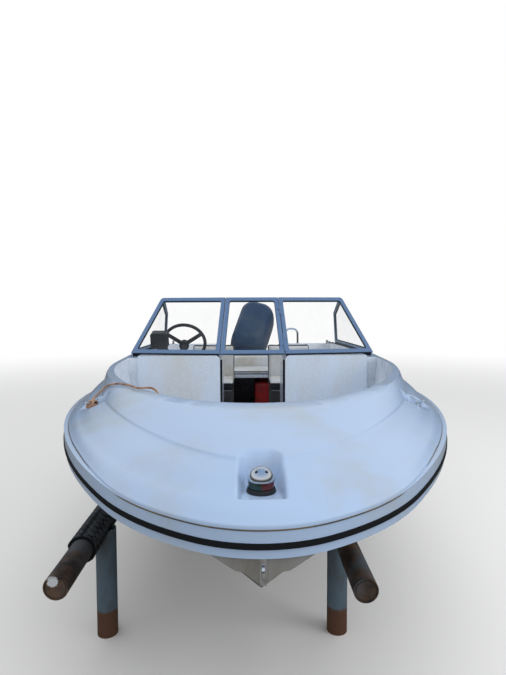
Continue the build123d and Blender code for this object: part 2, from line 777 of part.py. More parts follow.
def hinge_leaves(turn):
    """Knuckles and leaves of the gate's hinge; turn 1 is the port frame's share with the pin."""
    foot, along, ahead = hinge_line()
    pane = front_corners(1) if turn else gate_corners()
    normal = (pane[1] - pane[0]).cross(pane[3] - pane[0]).normalized()
    if normal.Y > 0:
        normal = normal * -1
    aside = normal.cross(along).normalized()
    if (aside.X > 0) != bool(turn):
        aside = aside * -1
    height = (foot - pane[0]).dot(normal)
    low = FRAME_DEEP / 2 - 0.5
    high = height - KNUCKLE_RADIUS / 2
    shape = None
    for group in (0.16, 0.84):
        middle = foot + along * (WS_HIGH * 1.2 * group)
        for k in (-1, 0, 1):
            if (k != 0) != bool(turn):
                continue
            centre = middle + along * (k * KNUCKLE_LONG)
            place = Plane(origin=centre, z_dir=along, x_dir=aside)
            knuckle = place * Cylinder(KNUCKLE_RADIUS, KNUCKLE_LONG - 1)
            if not turn:
                knuckle = knuckle - place * Cylinder(HINGE_PIN + FIT, KNUCKLE_LONG + 2)
            seat = centre - normal * (height - (low + high) / 2) + aside * (HINGE_LEAF / 2)
            leaf = Plane(origin=seat, z_dir=along, x_dir=aside) * Box(HINGE_LEAF, high - low, KNUCKLE_LONG - 1)
            leaf = leaf - place * Cylinder(KNUCKLE_RADIUS - 1, KNUCKLE_LONG + 2)
            piece = knuckle + leaf
            shape = piece if shape is None else shape + piece
        if turn:
            pin = Plane(origin=middle, z_dir=along, x_dir=aside) * Cylinder(HINGE_PIN, 3 * KNUCKLE_LONG - 2)
            shape = shape + pin
    return shape


def windshield_seal(side):
    """Rubber strip that beds the windshield on the bulkhead and the side deck."""
    ml, cl, ch, mh = front_corners(side)
    al = corner(side, "aft_low")
    down = Vector(0, 0, -FRAME_WIDE / 2 - 4)
    up = Vector(0, 0, 1)
    strip = bar(ml + down, cl + down, 20, 30, up, 6) + bar(cl + down, al + down, 20, 30, up, 6)
    return strip - windshield_frame_block(side) - console(side) - deck()


def windshield_frame_block(side):
    """Frame of one side with its panes, as a cutter for the strip under it."""
    cl, al, ah, ch = wing_corners(side)
    w = (al - cl).cross(ch - cl).normalized()
    front = flat_slab(front_corners(side), FRAME_WIDE / 2 + FIT, FRAME_DEEP + 2 * FIT)
    base = bar(cl, al, FRAME_WIDE + 2 * FIT, FRAME_DEEP + 2 * FIT, w, 8 + FIT)
    return front + base + bar(al, ah, FRAME_WIDE - 6 + 2 * FIT, FRAME_DEEP + 2 * FIT, w, 8 + FIT)


# Helm and seats

def wheel_place():
    return Pos(WHEEL_X, WHEEL_Y, WHEEL_Z) * Rot(WHEEL_TILT - 90, 0, 0)


def steering_wheel():
    """Rim, three dished spokes and a hub."""
    rim = Pos(WHEEL_RADIUS, 0) * RegularPolygon(WHEEL_RIM, 10)
    rim = revolve(Plane.XZ * rim, Axis.Z, 360)
    hub = Pos(0, 0, -22) * Cylinder(34, 26)
    reach = WHEEL_RADIUS - 20
    arm = polygon([(20, -30), (30, -30), (reach, -5), (WHEEL_RADIUS, -5), (WHEEL_RADIUS, 3), (reach, 3),
                   (24, -20)])
    for angle in (90, 210, 330):
        spoke = Plane(origin=(0, 0, 0), x_dir=(1, 0, 0), z_dir=(0, -1, 0)) * arm
        spoke = extrude(spoke, amount=15, both=True)
        hub = hub + Rot(0, 0, angle) * spoke
    return wheel_place() * (rim + hub)


def steering_column():
    post = Pos(0, 0, -36 - COLUMN_LONG / 2) * Cylinder(26, COLUMN_LONG)
    collar = Pos(0, 0, -45) * Cylinder(38, 16)
    return wheel_place() * (post + collar) - console(-1)


def instrument_box():
    """Small display on a foot, screen towards the helm."""
    z = BULKHEAD_TOP + FIT
    foot = Pos(INSTRUMENT_X, WS_BASE_Y + 250, z + 5) * Cylinder(32, 10)
    stem = Pos(INSTRUMENT_X, WS_BASE_Y + 250, z + 20) * Cylinder(14, 30)
    case = fillet(Box(124, 70, 116).edges().filter_by(Axis.Y), 14)
    hood = Pos(0, 45, 54) * Box(116, 40, 4)
    return foot + stem + Pos(INSTRUMENT_X, WS_BASE_Y + 250, z + 90) * Rot(12, 0, 0) * (case + hood)


def throttle_control():
    """Side-mounted control box with its lever."""
    wall = -COCKPIT_HALF + FIT
    case = fillet(Box(34, 130, 150).edges().filter_by(Axis.X), 30)
    lever = Pos(22, 0, 80) * Rot(12, 0, 0) * Box(10, 18, 170)
    knob = Pos(26, -33, 166) * Rot(0, 90, 0) * Cylinder(13, 60)
    return Pos(wall + 17, THROTTLE_Y, THROTTLE_Z) * (case + lever + knob)


def seat_box(side):
    box = block(SEAT_X - SEAT_WIDE / 2 + 20, SEAT_X + SEAT_WIDE / 2 - 20, SEAT_FRONT, SEAT_BACK_Y,
                SOLE_TOP, SEAT_BOX_TOP)
    box = fillet(box.edges().filter_by(Axis.Z), 30)
    return Pos((side - 1) * SEAT_X, 0, 0) * box


def helm_seat(side):
    """Cushion and upright back of one helm seat."""
    x0 = SEAT_X - SEAT_WIDE / 2
    x1 = SEAT_X + SEAT_WIDE / 2
    seat = block(x0, x1, SEAT_FRONT - 10, SEAT_BACK_Y + 10, SEAT_BOX_TOP + FIT, SEAT_TOP)
    seat = fillet(seat.edges().group_by(Axis.Z)[-1], CUSHION_ROUND)
    rake = 20.0
    back = polygon([(SEAT_BACK_Y - 5, SEAT_BOX_TOP - 20), (SEAT_BACK_Y + SEAT_BACK_THICK - 15, SEAT_BOX_TOP - 20),
                    (SEAT_BACK_Y + SEAT_BACK_THICK - 15 + rake, SEAT_BACK_TOP),
                    (SEAT_BACK_Y + 25, SEAT_BACK_TOP)], [(2, 30), (3, 30)])
    rest = across_x(back, x0, x1)
    rest = rest - block(x0, x1, SEAT_FRONT, SEAT_BACK_Y + FIT, SOLE_TOP, SEAT_BOX_TOP + FIT)
    return Pos((side - 1) * SEAT_X, 0, 0) * (seat + rest)


def bench_base():
    """Moulded bench with an open store under its lip."""
    half = COCKPIT_HALF + 10
    lip = BENCH_WALL
    solid = block(-half, half, BENCH_FRONT, COCKPIT_AFT - 1, SOLE_TOP, BENCH_TOP)
    store = block(-BENCH_STORE_HALF, BENCH_STORE_HALF, BENCH_FRONT - 20, BENCH_BACK_FRONT + 20,
                  SOLE_TOP - 5, BENCH_TOP - lip)
    return (solid & main_cavity(-FIT)) - store


def bench_cushion():
    half = COCKPIT_HALF - 30
    body = block(-half, half, BENCH_FRONT, BENCH_BACK_FRONT - 2, BENCH_TOP + FIT, BENCH_CUSHION_TOP)
    return fillet(body.edges().group_by(Axis.Z)[-1], 18)


def bench_back():
    half = COCKPIT_HALF - 30
    body = block(-half, half, BENCH_BACK_FRONT, BENCH_BACK_FRONT + BENCH_BACK_THICK, BENCH_TOP + FIT,
                 BENCH_BACK_TOP)
    return fillet(body.edges().group_by(Axis.Z)[-1], 24)


def fuel_tank():
    """Portable tank with a handle hump and a cap."""
    low = SOLE_TOP + FIT
    y = BENCH_FRONT + 180
    body = fillet(Box(320, 230, 240).edges(), 34)
    grip = Pos(-40, 0, 138) * (Box(120, 34, 36) - Pos(0, 0, -8) * Box(80, 40, 22))
    cap = Pos(90, 0, 128) * Cylinder(30, 26)
    return Pos(TANK_X, y, low + 120) * (body + grip + cap)


# Bow fittings

def nav_light_base():
    return Pos(0, NAV_Y, NAV_FLOOR + FIT + NAV_BASE_HIGH / 2) * Cylinder(NAV_RADIUS + 3, NAV_BASE_HIGH)


def nav_light_lens():
    low = NAV_FLOOR + NAV_BASE_HIGH + 2 * FIT
    body = Pos(0, NAV_Y, low + NAV_LENS_HIGH / 2) * Cylinder(NAV_RADIUS, NAV_LENS_HIGH)
    return body


def nav_light_cap():
    """Domed metal cap on a short rim."""
    low = NAV_FLOOR + NAV_BASE_HIGH + NAV_LENS_HIGH + 3 * FIT
    r = NAV_RADIUS + 1
    rim = 5.0
    half = polygon([(0, 0), (r, 0), (r, rim), (0.86 * r, rim + 0.55 * NAV_DOME), (0.5 * r, rim + 0.9 * NAV_DOME),
                    (0, rim + NAV_DOME)])
    return Pos(0, NAV_Y, low) * revolve(Plane.XZ * half, Axis.Z, 360)


def horn_cleat(length, high):
    """Two-horned cleat on a thin foot, its length along x."""
    foot = fillet(Box(length * 0.52, 26, 5).edges().filter_by(Axis.Z), 10)
    foot = Pos(0, 0, 2.5) * foot
    legs = Pos(-length * 0.14, 0, high / 2) * Cylinder(7, high - 4)
    legs = legs + Pos(length * 0.14, 0, high / 2) * Cylinder(7, high - 4)
    half = length / 2
    horn = polygon([(-half, 0), (half, 0), (half, 4), (half / 3, 7.5), (-half / 3, 7.5), (-half, 4)])
    return foot + legs + Pos(0, 0, high - 7) * revolve(horn, Axis.X, 360)


def bow_cleat(side):
    place = Pos(side * cleat_x(), CLEAT_Y, CLEAT_FLOOR + FIT) * Rot(0, 0, 90 - side * 25)
    return place * horn_cleat(CLEAT_LONG, CLEAT_HIGH)


def gunwale_place(x, y):
    """Place on the side deck, level with its slope."""
    slope = (gunwale_z(y + 10) - gunwale_z(y - 10)) / 20
    return Pos(x, y, gunwale_z(y) + 2 * FIT) * Rot(math.degrees(math.atan(slope)), 0, 0)


def stern_cleat(side):
    x = HALF_BEAM - STERN_FITTING_INSET
    return gunwale_place(side * x, LENGTH - 420) * Rot(0, 0, 90) * horn_cleat(CLEAT_LONG, CLEAT_HIGH)


def gunwale_fittings():
    """Filler cap and air vent on the port side deck."""
    x = HALF_BEAM - STERN_FITTING_INSET
    cap = Pos(0, 0, 3) * Cylinder(34, 6) + Pos(0, 0, 8) * Box(44, 8, 6)
    vent = Pos(0, 0, 2) * Cylinder(18, 4) + Pos(0, 0, 11) * Cylinder(10, 18)
    return Compound(children=[gunwale_place(x, LENGTH - 700) * cap, gunwale_place(x, LENGTH - 560) * vent])


def bow_eye():
    """Bent rod and its plate on the upright part of the stem, under the rail."""
    place = Pos(0, HULL_INSET, BOW_EYE_Z) * Rot(-90, 0, 0)
    section = Pos(0, BOW_EYE_RADIUS) * RegularPolygon(BOW_EYE_ROD, 8)
    rod = revolve(Plane.XY * section, Axis.X, -180)
    root = BOW_EYE_ROD
    legs = Pos(0, BOW_EYE_RADIUS, root / 2) * Cylinder(BOW_EYE_ROD, root)
    legs = legs + Pos(0, -BOW_EYE_RADIUS, root / 2) * Cylinder(BOW_EYE_ROD, root)
    plate = Box(BOW_EYE_PLATE_WIDE, 2 * BOW_EYE_PLATE, 2 * BOW_EYE_PLATE_THICK)
    return place * (rod + legs + plate) - prism(rail_outline(HULL_INSET), CHINE_Z, CAVITY_TOP)


def stern_grab_rail():
    """Bent tube with two feet."""
    y = LENGTH - 170
    half = 70.0
    high = 170.0
    path = FilletPolyline((-half, 0, 1), (-half, 0, high), (half, 0, high), (half, 0, 1), radius=55)
    tube = sweep(Plane(origin=(-half, 0, 1), z_dir=(0, 0, 1)) * RegularPolygon(11, 8), path=path)
    feet = Pos(-half, 0, 3) * Cylinder(24, 6) + Pos(half, 0, 3) * Cylinder(24, 6)
    return gunwale_place(GRAB_RAIL_X, y) * (tube + feet)


# Mooring rope

def rope_radii():
    """Bend radius at each inner point of the route, as large as its two runs allow."""
    points = [Vector(*p) for p in ROPE_ROUTE]
    radii = []
    for a, b, c in zip(points, points[1:], points[2:]):
        turn = (b - a).get_angle(c - b)
        radii.append(0.45 * min((b - a).length, (c - b).length) / math.tan(math.radians(turn / 2)))
    return radii


def mooring_rope():
    """Rope from the cleat over the coaming and down to its coil."""
    radii = rope_radii()
    print("rope bend radii", [round(r) for r in radii])
    path = FilletPolyline(*ROPE_ROUTE, radius=radii)
    start = Vector(*ROPE_ROUTE[0])
    section = Plane(origin=start, z_dir=Vector(*ROPE_ROUTE[1]) - start) * Circle(ROPE / 2)
    rope = sweep(section, path=path)
    print("rope length", round(path.length), "volume share", rope.volume / (math.pi * ROPE ** 2 / 4 * path.length))
    return rope


def rope_coil():
    """Outer shape of the coiled end on the bow seat."""
    half = COIL_TURNS_WIDE * ROPE / 2
    high = COIL_TURNS_HIGH * ROPE
    ring_body = Cylinder(COIL_RADIUS + half, high) - Cylinder(COIL_RADIUS - half, high + 2)
    return Pos(COIL_X, COIL_Y, SEAT_LEVEL + FIT + high / 2) * ring_body


# Outboard

def tilt_place():
    return Pos(0, TILT_Y, TILT_Z) * Rot(MOTOR_TILT, 0, 0)


def motor_place():
    return tilt_place() * Pos(0, SWIVEL_Y, 0) * Rot(0, 0, MOTOR_STEER) * Pos(0, -SWIVEL_Y, 0)


def rounded_section(wide, long, r, steps):
    """Outline of a rectangle whose rounded corners are short straight sides."""
    points = []
    for sx, sy, start in ((1, 1, 0), (-1, 1, 90), (-1, -1, 180), (1, -1, 270)):
        for k in range(steps + 1):
            angle = start + 90 * k / steps
            points.append((sx * (wide / 2 - r) + r * cos(angle), sy * (long / 2 - r) + r * sin(angle)))
    return Wire(Polyline(*points, close=True).edges())


def section_loft(rows, steps=2):
    """Loft through level sections: z, middle y, length, breadth, rounding."""
    wires = [Pos(0, y, z) * rounded_section(wide, long, r, steps) for z, y, long, wide, r in rows]
    return Solid.make_loft(wires, True)


def motor_clamp():
    """Two plates that hook over the transom and carry the tilt tube."""
    front = WELL_AFT - 28
    low = MOTOR_TRANSOM_TOP - 60
    foot = TILT_Z - CLAMP_LONG - 42
    top = TILT_Z + 34
    hook = polygon([(front, low), (front, TILT_Z - 14), (front + 26, top), (TILT_Y + 30, top),
                    (TILT_Y + 58, TILT_Z - 10), (transom_y(foot) + 46, foot), (transom_y(foot) - 40, foot),
                    (transom_y(foot) - 40, low)],
                   [(1, 24), (2, 18), (3, 22), (4, 30), (5, 16)])
    wood = block(-400, 400, WELL_AFT - FIT, LENGTH + 300, 100, MOTOR_TRANSOM_TOP + FIT) & ahead_of_transom(FIT)
    shape = None
    for side in (-1, 1):
        x0 = side * CLAMP_X - CLAMP_THICK / 2
        plate = across_x(hook, x0, x0 + CLAMP_THICK)
        shape = plate if shape is None else shape + plate
    shape = shape - wood - block(-400, 400, WELL_FRONT, WELL_AFT - 26, 0, WELL_FLOOR + FIT)
    shape = shape - block(-400, 400, LENGTH - 400, WELL_AFT - FIT, 0, low)
    bore = Pos(0, TILT_Y, TILT_Z) * Rot(0, 90, 0) * Cylinder(TILT_TUBE + BORE_GAP, 400)
    return shape - bore


def motor_swivel():
    """Tilt tube, casting and the upright tube that the motor turns in."""
    tube = Rot(0, 90, 0) * Cylinder(TILT_TUBE, 2 * CLAMP_X + CLAMP_THICK + 16)
    collar = Rot(0, 90, 0) * Cylinder(TILT_TUBE + 4, 2 * CLAMP_X - CLAMP_THICK - 10)
    upright = Pos(0, SWIVEL_Y, -SWIVEL_LONG / 2) * Cylinder(SWIVEL_TUBE, SWIVEL_LONG)
    a = Plane(origin=(0, SWIVEL_WEB_Y, 0), x_dir=(1, 0, 0), z_dir=(0, 1, 0)) * rounded_section(150, 24, 10, 1)
    b = Plane(origin=(0, SWIVEL_Y - 8, -110), x_dir=(1, 0, 0), z_dir=(0, 1, 0)) * rounded_section(50, 200, 16, 1)
    web = Solid.make_loft([a, b], True)
    shape = tube + collar + upright + web
    shape = shape - Pos(0, SWIVEL_Y, -SWIVEL_LONG / 2) * Cylinder(PIVOT_SHAFT + BORE_GAP, SWIVEL_LONG + 40)
    return tilt_place() * shape


COWL_ROWS = [
    # z, middle y, length, breadth, rounding
    (COWL_BOTTOM, 200, 616, 376, 118),
    (250, 200, 640, 392, 130),
    (390, 206, 622, 384, 134),
    (490, 218, 560, 348, 128),
    (552, 232, 440, 262, 100),
    (566, 234, 400, 226, 90),
]


def motor_cowl():
    """Hollow cowl, rounded towards its top."""
    outer = section_loft(COWL_ROWS, COWL_STEPS)
    rows = [(z, y, long - 2 * COWL_WALL, wide - 2 * COWL_WALL, r - COWL_WALL) for z, y, long, wide, r in COWL_ROWS]
    rows[-1] = (COWL_ROWS[-1][0] - COWL_WALL,) + rows[-1][1:]
    return motor_place() * (outer - section_loft(rows, COWL_STEPS))


def powerhead():
    """The engine as one block of its real bulk, on the lower pan."""
    low = COWL_BOTTOM
    return motor_place() * block(-115, 115, 40, 440, low, low + 320)


def motor_pan():
    """Lower pan that carries the cowl and narrows to the leg."""
    rows = [(72, 262, 250, 190, 74), (100, 232, 470, 300, 110), (COWL_BOTTOM - FIT, 200, 614, 374, 117)]
    return motor_place() * section_loft(rows, COWL_STEPS)


def motor_leg():
    """Tapered midsection with the two mounts that turn about the swivel tube."""
    rows = [(72 - FIT, 262, 200, 140, 56), (-20, 258, 186, 104, 44), (-300, 254, 180, 84, 36),
            (PLATE_Z, 252, 196, 66, 31)]
    leg = section_loft(rows)
    upper = Pos(0, SWIVEL_Y, 25) * Cylinder(38, 46) + block(-38, 38, SWIVEL_Y, 200, 2, 48)
    low = -SWIVEL_LONG - 2
    lower = Pos(0, SWIVEL_Y, low - 20) * Cylinder(30, 40) + block(-30, 30, SWIVEL_Y, 200, low - 40, low)
    shaft = Pos(0, SWIVEL_Y, (low + 2) / 2) * Cylinder(PIVOT_SHAFT, -low + 10)
    arm = block(-17, 17, STEER_ARM_Y, SWIVEL_Y, 28, 40) + Pos(0, STEER_ARM_Y, 34) * Cylinder(17, 12)
    return motor_place() * (leg + upper + lower + shaft + arm)


def lower_unit():
    """Plate over the propeller, strut, gearcase and skeg."""
    plan = polygon([(-58, 130), (58, 130), (104, 290), (104, 430), (-104, 430), (-104, 290)],
                   [(0, 44), (1, 44), (2, 80), (3, 50), (4, 50), (5, 80)])
    plate = Pos(0, 0, PLATE_Z - 8 - FIT) * extrude(plan, amount=8, dir=(0, 0, 1))
    strut = section_loft([(PLATE_Z - 4, 250, 196, 64, 31), (PROP_Z + 20, 240, 170, 52, 25)])
    nose = 60.0
    tail = PROP_Y - 58
    profile = Face(Wire([Line((nose, 0), (tail, 0)), Line((tail, 0), (tail, 40)), Line((tail, 40), (tail - 50, 48)),
                         Line((tail - 50, 48), (nose + 100, 47)),
                         ThreePointArc((nose + 100, 47), (nose + 26, 31), (nose, 5)),
                         Line((nose, 5), (nose, 0))]))
    side_view = Plane(origin=(0, 0, 0), x_dir=(0, 1, 0), z_dir=(1, 0, 0))
    gearcase = Pos(0, 0, PROP_Z) * revolve(side_view * profile, Axis.Y, 360)
    skeg = section_loft([(PROP_Z - 30, 245, 150, 15, 7), (PROP_Z - 145, 285, 92, 7, 3)])
    bore = Pos(0, tail, PROP_Z) * Rot(90, 0, 0) * Cylinder(PROP_SHAFT + BORE_GAP, 90)
    return motor_place() * (plate + strut + gearcase + skeg - bore)


BLADE_ROWS = [
    # radius, chord, half thickness, angle between the chord and the disc
    (30, 64, 7.0, 56),
    (70, 100, 6.0, 40),
    (112, 116, 4.5, 28),
    (146, 92, 3.0, 22),
    (PROP_RADIUS, 40, 1.5, 19),
]


def blade():
    """Twisted blade, lofted through lens-shaped sections from root to tip."""
    wires = []
    for r, chord, t, angle in BLADE_ROWS:
        half = chord / 2
        lens = Wire([ThreePointArc((-half, 0), (0, t), (half, 0)), ThreePointArc((half, 0), (0, -0.3 * t), (-half, 0))])
        plane = Plane(origin=(0, 0, r), x_dir=(cos(angle), sin(angle), 0), z_dir=(0, 0, 1))
        wires.append(plane * lens)
    return Solid.make_loft(wires, False)


def propeller():
    """Three blades on a tapered hub, with its shaft and nut."""
    profile = polygon([(-50, 0), (-50, PROP_HUB), (55, PROP_HUB - 5), (55, PROP_HUB - 11), (30, PROP_HUB - 11),
                       (30, 14), (50, 14), (58, 9), (58, 0)])
    side_view = Plane(origin=(0, 0, 0), x_dir=(0, 1, 0), z_dir=(1, 0, 0))
    shape = revolve(side_view * profile, Axis.Y, 360)
    shape = shape + Pos(0, -68, 0) * Rot(90, 0, 0) * Cylinder(PROP_SHAFT, 50)
    for k in range(3):
        shape = shape + Rot(0, 120 * k, 0) * blade()
    return motor_place() * Pos(0, PROP_Y, PROP_Z) * shape


# Rack

def beam(x, z):
    """Pipe with a cap plate let into each end."""
    length = BEAM_AFT - BEAM_FRONT
    pipe = Cylinder(PIPE_RADIUS, length)
    groove = Cylinder(PIPE_RADIUS - PIPE_WALL, 6) - Cylinder(PIPE_RADIUS - PIPE_WALL - 6, 6)
    pipe = pipe - Pos(0, 0, length / 2 - 2) * groove - Pos(0, 0, 2 - length / 2) * groove
    return Pos(x, BEAM_FRONT + length / 2, z) * Rot(90, 0, 0) * pipe


def rack_beams():
    return Compound(children=[beam(PORT_BEAM_X, PORT_BEAM_Z), beam(STARBOARD_BEAM_X, STARBOARD_BEAM_Z)])


def rack_posts():
    """Open pipes, coped to the beams that they are welded to."""
    parts = []
    for x, top, bx, r in ((PORT_POST_X, PORT_BEAM_Z, PORT_BEAM_X, PIPE_RADIUS),
                          (STARBOARD_POST_X, STARBOARD_BEAM_Z, STARBOARD_BEAM_X, TREAD_RADIUS + FIT)):
        saddle = Pos(bx, LENGTH / 2, top) * Rot(90, 0, 0) * Cylinder(r, LENGTH)
        for y in POST_Y:
            post = Cylinder(PIPE_RADIUS, top) - Cylinder(PIPE_RADIUS - PIPE_WALL, top + 10)
            parts.append(Pos(x, y, top / 2) * post - saddle)
    return Compound(children=parts)


def tread():
    """Old tyre tread wrapped around the starboard beam, lapped at the outer side."""
    length = TREAD_AFT - TREAD_FRONT
    place = Pos(STARBOARD_BEAM_X, TREAD_FRONT + length / 2, STARBOARD_BEAM_Z) * Rot(90, 0, 0)
    return place * (Cylinder(TREAD_RADIUS, length) - Cylinder(PIPE_RADIUS + FIT, length + 10))


PARTS = {
    "hull": hull,
    "deck": deck,
    "cockpit_liner": cockpit_liner,
    "rail_upper": rail_upper,
    "rub_strip": rub_strip,
    "rail_lower": rail_lower,
    "cockpit_sole": cockpit_sole,
    "console_starboard": lambda: console(-1),
    "console_port": lambda: console(1),
    "windshield_frame_starboard": lambda: windshield_frame(-1),
    "windshield_frame_port": lambda: windshield_frame(1),
    "windshield_glass_starboard": lambda: windshield_glass(-1),
    "windshield_glass_port": lambda: windshield_glass(1),
    "side_glass_starboard": lambda: side_glass(-1),
    "side_glass_port": lambda: side_glass(1),
    "windshield_seal_starboard": lambda: windshield_seal(-1),
    "windshield_seal_port": lambda: windshield_seal(1),
    "gate_frame": gate_frame,
    "gate_glass": gate_glass,
    "steering_wheel": steering_wheel,
    "steering_column": steering_column,
    "instrument_box": instrument_box,
    "throttle_control": throttle_control,
    "helm_seat_box_starboard": lambda: seat_box(-1),
    "helm_seat_box_port": lambda: seat_box(1),
    "helm_seat_starboard": lambda: helm_seat(-1),
    "helm_seat_port": lambda: helm_seat(1),
    "bench_base": bench_base,
    "bench_cushion": bench_cushion,
    "bench_back": bench_back,
    "fuel_tank": fuel_tank,
    "nav_light_base": nav_light_base,
    "nav_light_lens": nav_light_lens,
    "nav_light_cap": nav_light_cap,
    "bow_cleat_starboard": lambda: bow_cleat(-1),
    "bow_cleat_port": lambda: bow_cleat(1),
    "stern_cleat_starboard": lambda: stern_cleat(-1),
    "stern_cleat_port": lambda: stern_cleat(1),
    "gunwale_fittings": gunwale_fittings,
    "bow_eye": bow_eye,
    "stern_grab_rail": stern_grab_rail,
    "mooring_rope": mooring_rope,
    "rope_coil": rope_coil,
    "motor_clamp": motor_clamp,
    "motor_swivel": motor_swivel,
    "motor_cowl": motor_cowl,
    "powerhead": powerhead,
    "motor_pan": motor_pan,
    "motor_leg": motor_leg,
    "lower_unit": lower_unit,
    "propeller": propeller,
    "rack_beams": rack_beams,
    "rack_posts": rack_posts,
    "rack_tread": tread,
}

os.makedirs("parts", exist_ok=True)
for name, make in PARTS.items():
    shape = Pos(0, -MIDDLE_Y, 0) * make()
    export_step(shape, "parts/" + name + ".step")
    box = shape.bounding_box()
    print(name, len(shape.solids()), box.min, box.max)
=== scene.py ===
import bmesh
import bpy
import math
from mathutils import Matrix, Vector
from mathutils.bvhtree import BVHTree


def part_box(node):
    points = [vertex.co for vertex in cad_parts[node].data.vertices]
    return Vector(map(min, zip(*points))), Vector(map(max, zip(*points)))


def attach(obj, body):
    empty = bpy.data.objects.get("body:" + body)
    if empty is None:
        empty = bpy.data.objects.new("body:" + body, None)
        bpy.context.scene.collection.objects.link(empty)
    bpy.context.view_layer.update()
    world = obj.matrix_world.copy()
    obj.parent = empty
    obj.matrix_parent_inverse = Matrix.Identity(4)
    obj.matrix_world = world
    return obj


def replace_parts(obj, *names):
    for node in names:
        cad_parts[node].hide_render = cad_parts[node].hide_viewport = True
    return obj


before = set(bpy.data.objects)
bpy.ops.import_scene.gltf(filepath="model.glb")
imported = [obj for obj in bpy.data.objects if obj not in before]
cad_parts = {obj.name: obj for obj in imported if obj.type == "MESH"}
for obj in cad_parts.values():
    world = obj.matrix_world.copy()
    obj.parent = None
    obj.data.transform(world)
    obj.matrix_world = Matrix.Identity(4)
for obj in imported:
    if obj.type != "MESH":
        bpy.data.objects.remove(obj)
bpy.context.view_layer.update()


def place_new(name, data):
    """New object in the scene."""
    made = bpy.data.objects.new(name, data)
    bpy.context.collection.objects.link(made)
    return made


def turned(degrees, axis):
    return Matrix.Rotation(math.radians(degrees), 4, axis)


# Camera
# A phone held at eye height a step in front of the bow, pitched a little down at the boat.
BOW_TIP_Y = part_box("rail_upper")[0].y
CAMERA_AHEAD = 1.201
CAMERA_SIDE = -0.040
CAMERA_HEIGHT = 1.611
CAMERA_YAW = 0.75
CAMERA_PITCH = 3.32
CAMERA_ROLL = -0.19
CAMERA_LENS = 26.0

camera = place_new("camera", bpy.data.cameras.new("camera"))
camera.data.lens = CAMERA_LENS
camera.data.sensor_width = 36.0
camera.data.clip_start = 0.05
camera.data.clip_end = 200.0
camera.location = (CAMERA_SIDE, BOW_TIP_Y - CAMERA_AHEAD, CAMERA_HEIGHT)
aim = turned(-CAMERA_YAW, "Z") @ turned(90 - CAMERA_PITCH, "X") @ turned(CAMERA_ROLL, "Z")
camera.rotation_euler = aim.to_euler()
bpy.context.scene.camera = camera

# Hull
# Moulded in glass fibre and gelcoat, cream white, with two lifting strakes on each side of the keel.
# The gelcoat is glossy, faintly rippled, and stained in streaks down the sides.


def shader(name):
    """New material with its tree and its Principled BSDF."""
    material = bpy.data.materials.new(name)
    material.use_nodes = True
    return material, material.node_tree, material.node_tree.nodes["Principled BSDF"]


def feed(tree, node, inputs):
    """Give inputs of a node a socket to link or a value."""
    for socket, value in inputs.items():
        if isinstance(value, bpy.types.NodeSocket):
            tree.links.new(value, node.inputs[socket])
        else:
            node.inputs[socket].default_value = value


def add(tree, kind, inputs=None, **settings):
    """New node; settings are the node's own options."""
    made = tree.nodes.new(kind)
    for key, value in settings.items():
        setattr(made, key, value)
    feed(tree, made, inputs or {})
    return made


def spot(tree, output="Object"):
    """Place on the piece, or with another output the way that its surface faces."""
    return add(tree, "ShaderNodeTexCoord").outputs[output]


def split(tree, vector):
    return add(tree, "ShaderNodeSeparateXYZ", {"Vector": vector}).outputs


def maths(tree, operation, first, second=0.0):
    return add(tree, "ShaderNodeMath", {0: first, 1: second}, operation=operation).outputs[0]


def vectors(tree, operation, first, second=(0, 0, 0), output="Vector"):
    return add(tree, "ShaderNodeVectorMath", {0: first, 1: second}, operation=operation).outputs[output]


def ramp(tree, value, start, stop, low=0.0, high=1.0, **settings):
    """Number that goes from low to high as a value goes from start to stop."""
    sockets = {"Value": value, "From Min": start, "From Max": stop, "To Min": low, "To Max": high}
    return add(tree, "ShaderNodeMapRange", sockets, **settings).outputs["Result"]


def blend_colours(tree, mask, first, second):
    """Colour that goes from the first to the second with the mask."""
    mix = add(tree, "ShaderNodeMix", {"Factor": mask}, data_type="RGBA")
    for name, value in (("A", first), ("B", second)):
        socket = [s for s in mix.inputs if s.name == name and s.type == "RGBA"][0]
        if isinstance(value, bpy.types.NodeSocket):
            tree.links.new(value, socket)
        else:
            socket.default_value = (*value, 1.0)
    return [s for s in mix.outputs if s.type == "RGBA"][0]


# Blotches of grime and a fine mottle, both from 0 to 1
GRIME = bpy.data.node_groups.new("grime", "ShaderNodeTree")
for way, titles in (("INPUT", ("Scale", "Amount", "Streak")), ("OUTPUT", ("Blotches", "Mottle"))):
    for title in titles:
        GRIME.interface.new_socket(name=title, in_out=way, socket_type="NodeSocketFloat")
grime_in = GRIME.nodes.new("NodeGroupInput")
grime_out = GRIME.nodes.new("NodeGroupOutput")
STREAK_DETAIL = {"Detail": 8.0, "Roughness": 0.62}
MOTTLE_DETAIL = {"Detail": 5.0, "Roughness": 0.7}
MOTTLE_FINER = 22.0
BLOTCH_LEVEL = 0.78
BLOTCH_SOFT = 0.30
stretch = add(GRIME, "ShaderNodeCombineXYZ", {"X": 1.0, "Y": 1.0, "Z": grime_in.outputs["Streak"]})
stretched = vectors(GRIME, "MULTIPLY", spot(GRIME), stretch.outputs["Vector"])
cloud = add(GRIME, "ShaderNodeTexNoise", {
    "Vector": stretched, "Scale": grime_in.outputs["Scale"], **STREAK_DETAIL})
begin = maths(GRIME, "SUBTRACT", BLOTCH_LEVEL, grime_in.outputs["Amount"])
patches = ramp(GRIME, cloud.outputs["Fac"], begin, maths(GRIME, "ADD", begin, BLOTCH_SOFT),
               interpolation_type="SMOOTHSTEP")
fine = add(GRIME, "ShaderNodeTexNoise", {
    "Vector": spot(GRIME), "Scale": maths(GRIME, "MULTIPLY", grime_in.outputs["Scale"], MOTTLE_FINER),
    **MOTTLE_DETAIL})
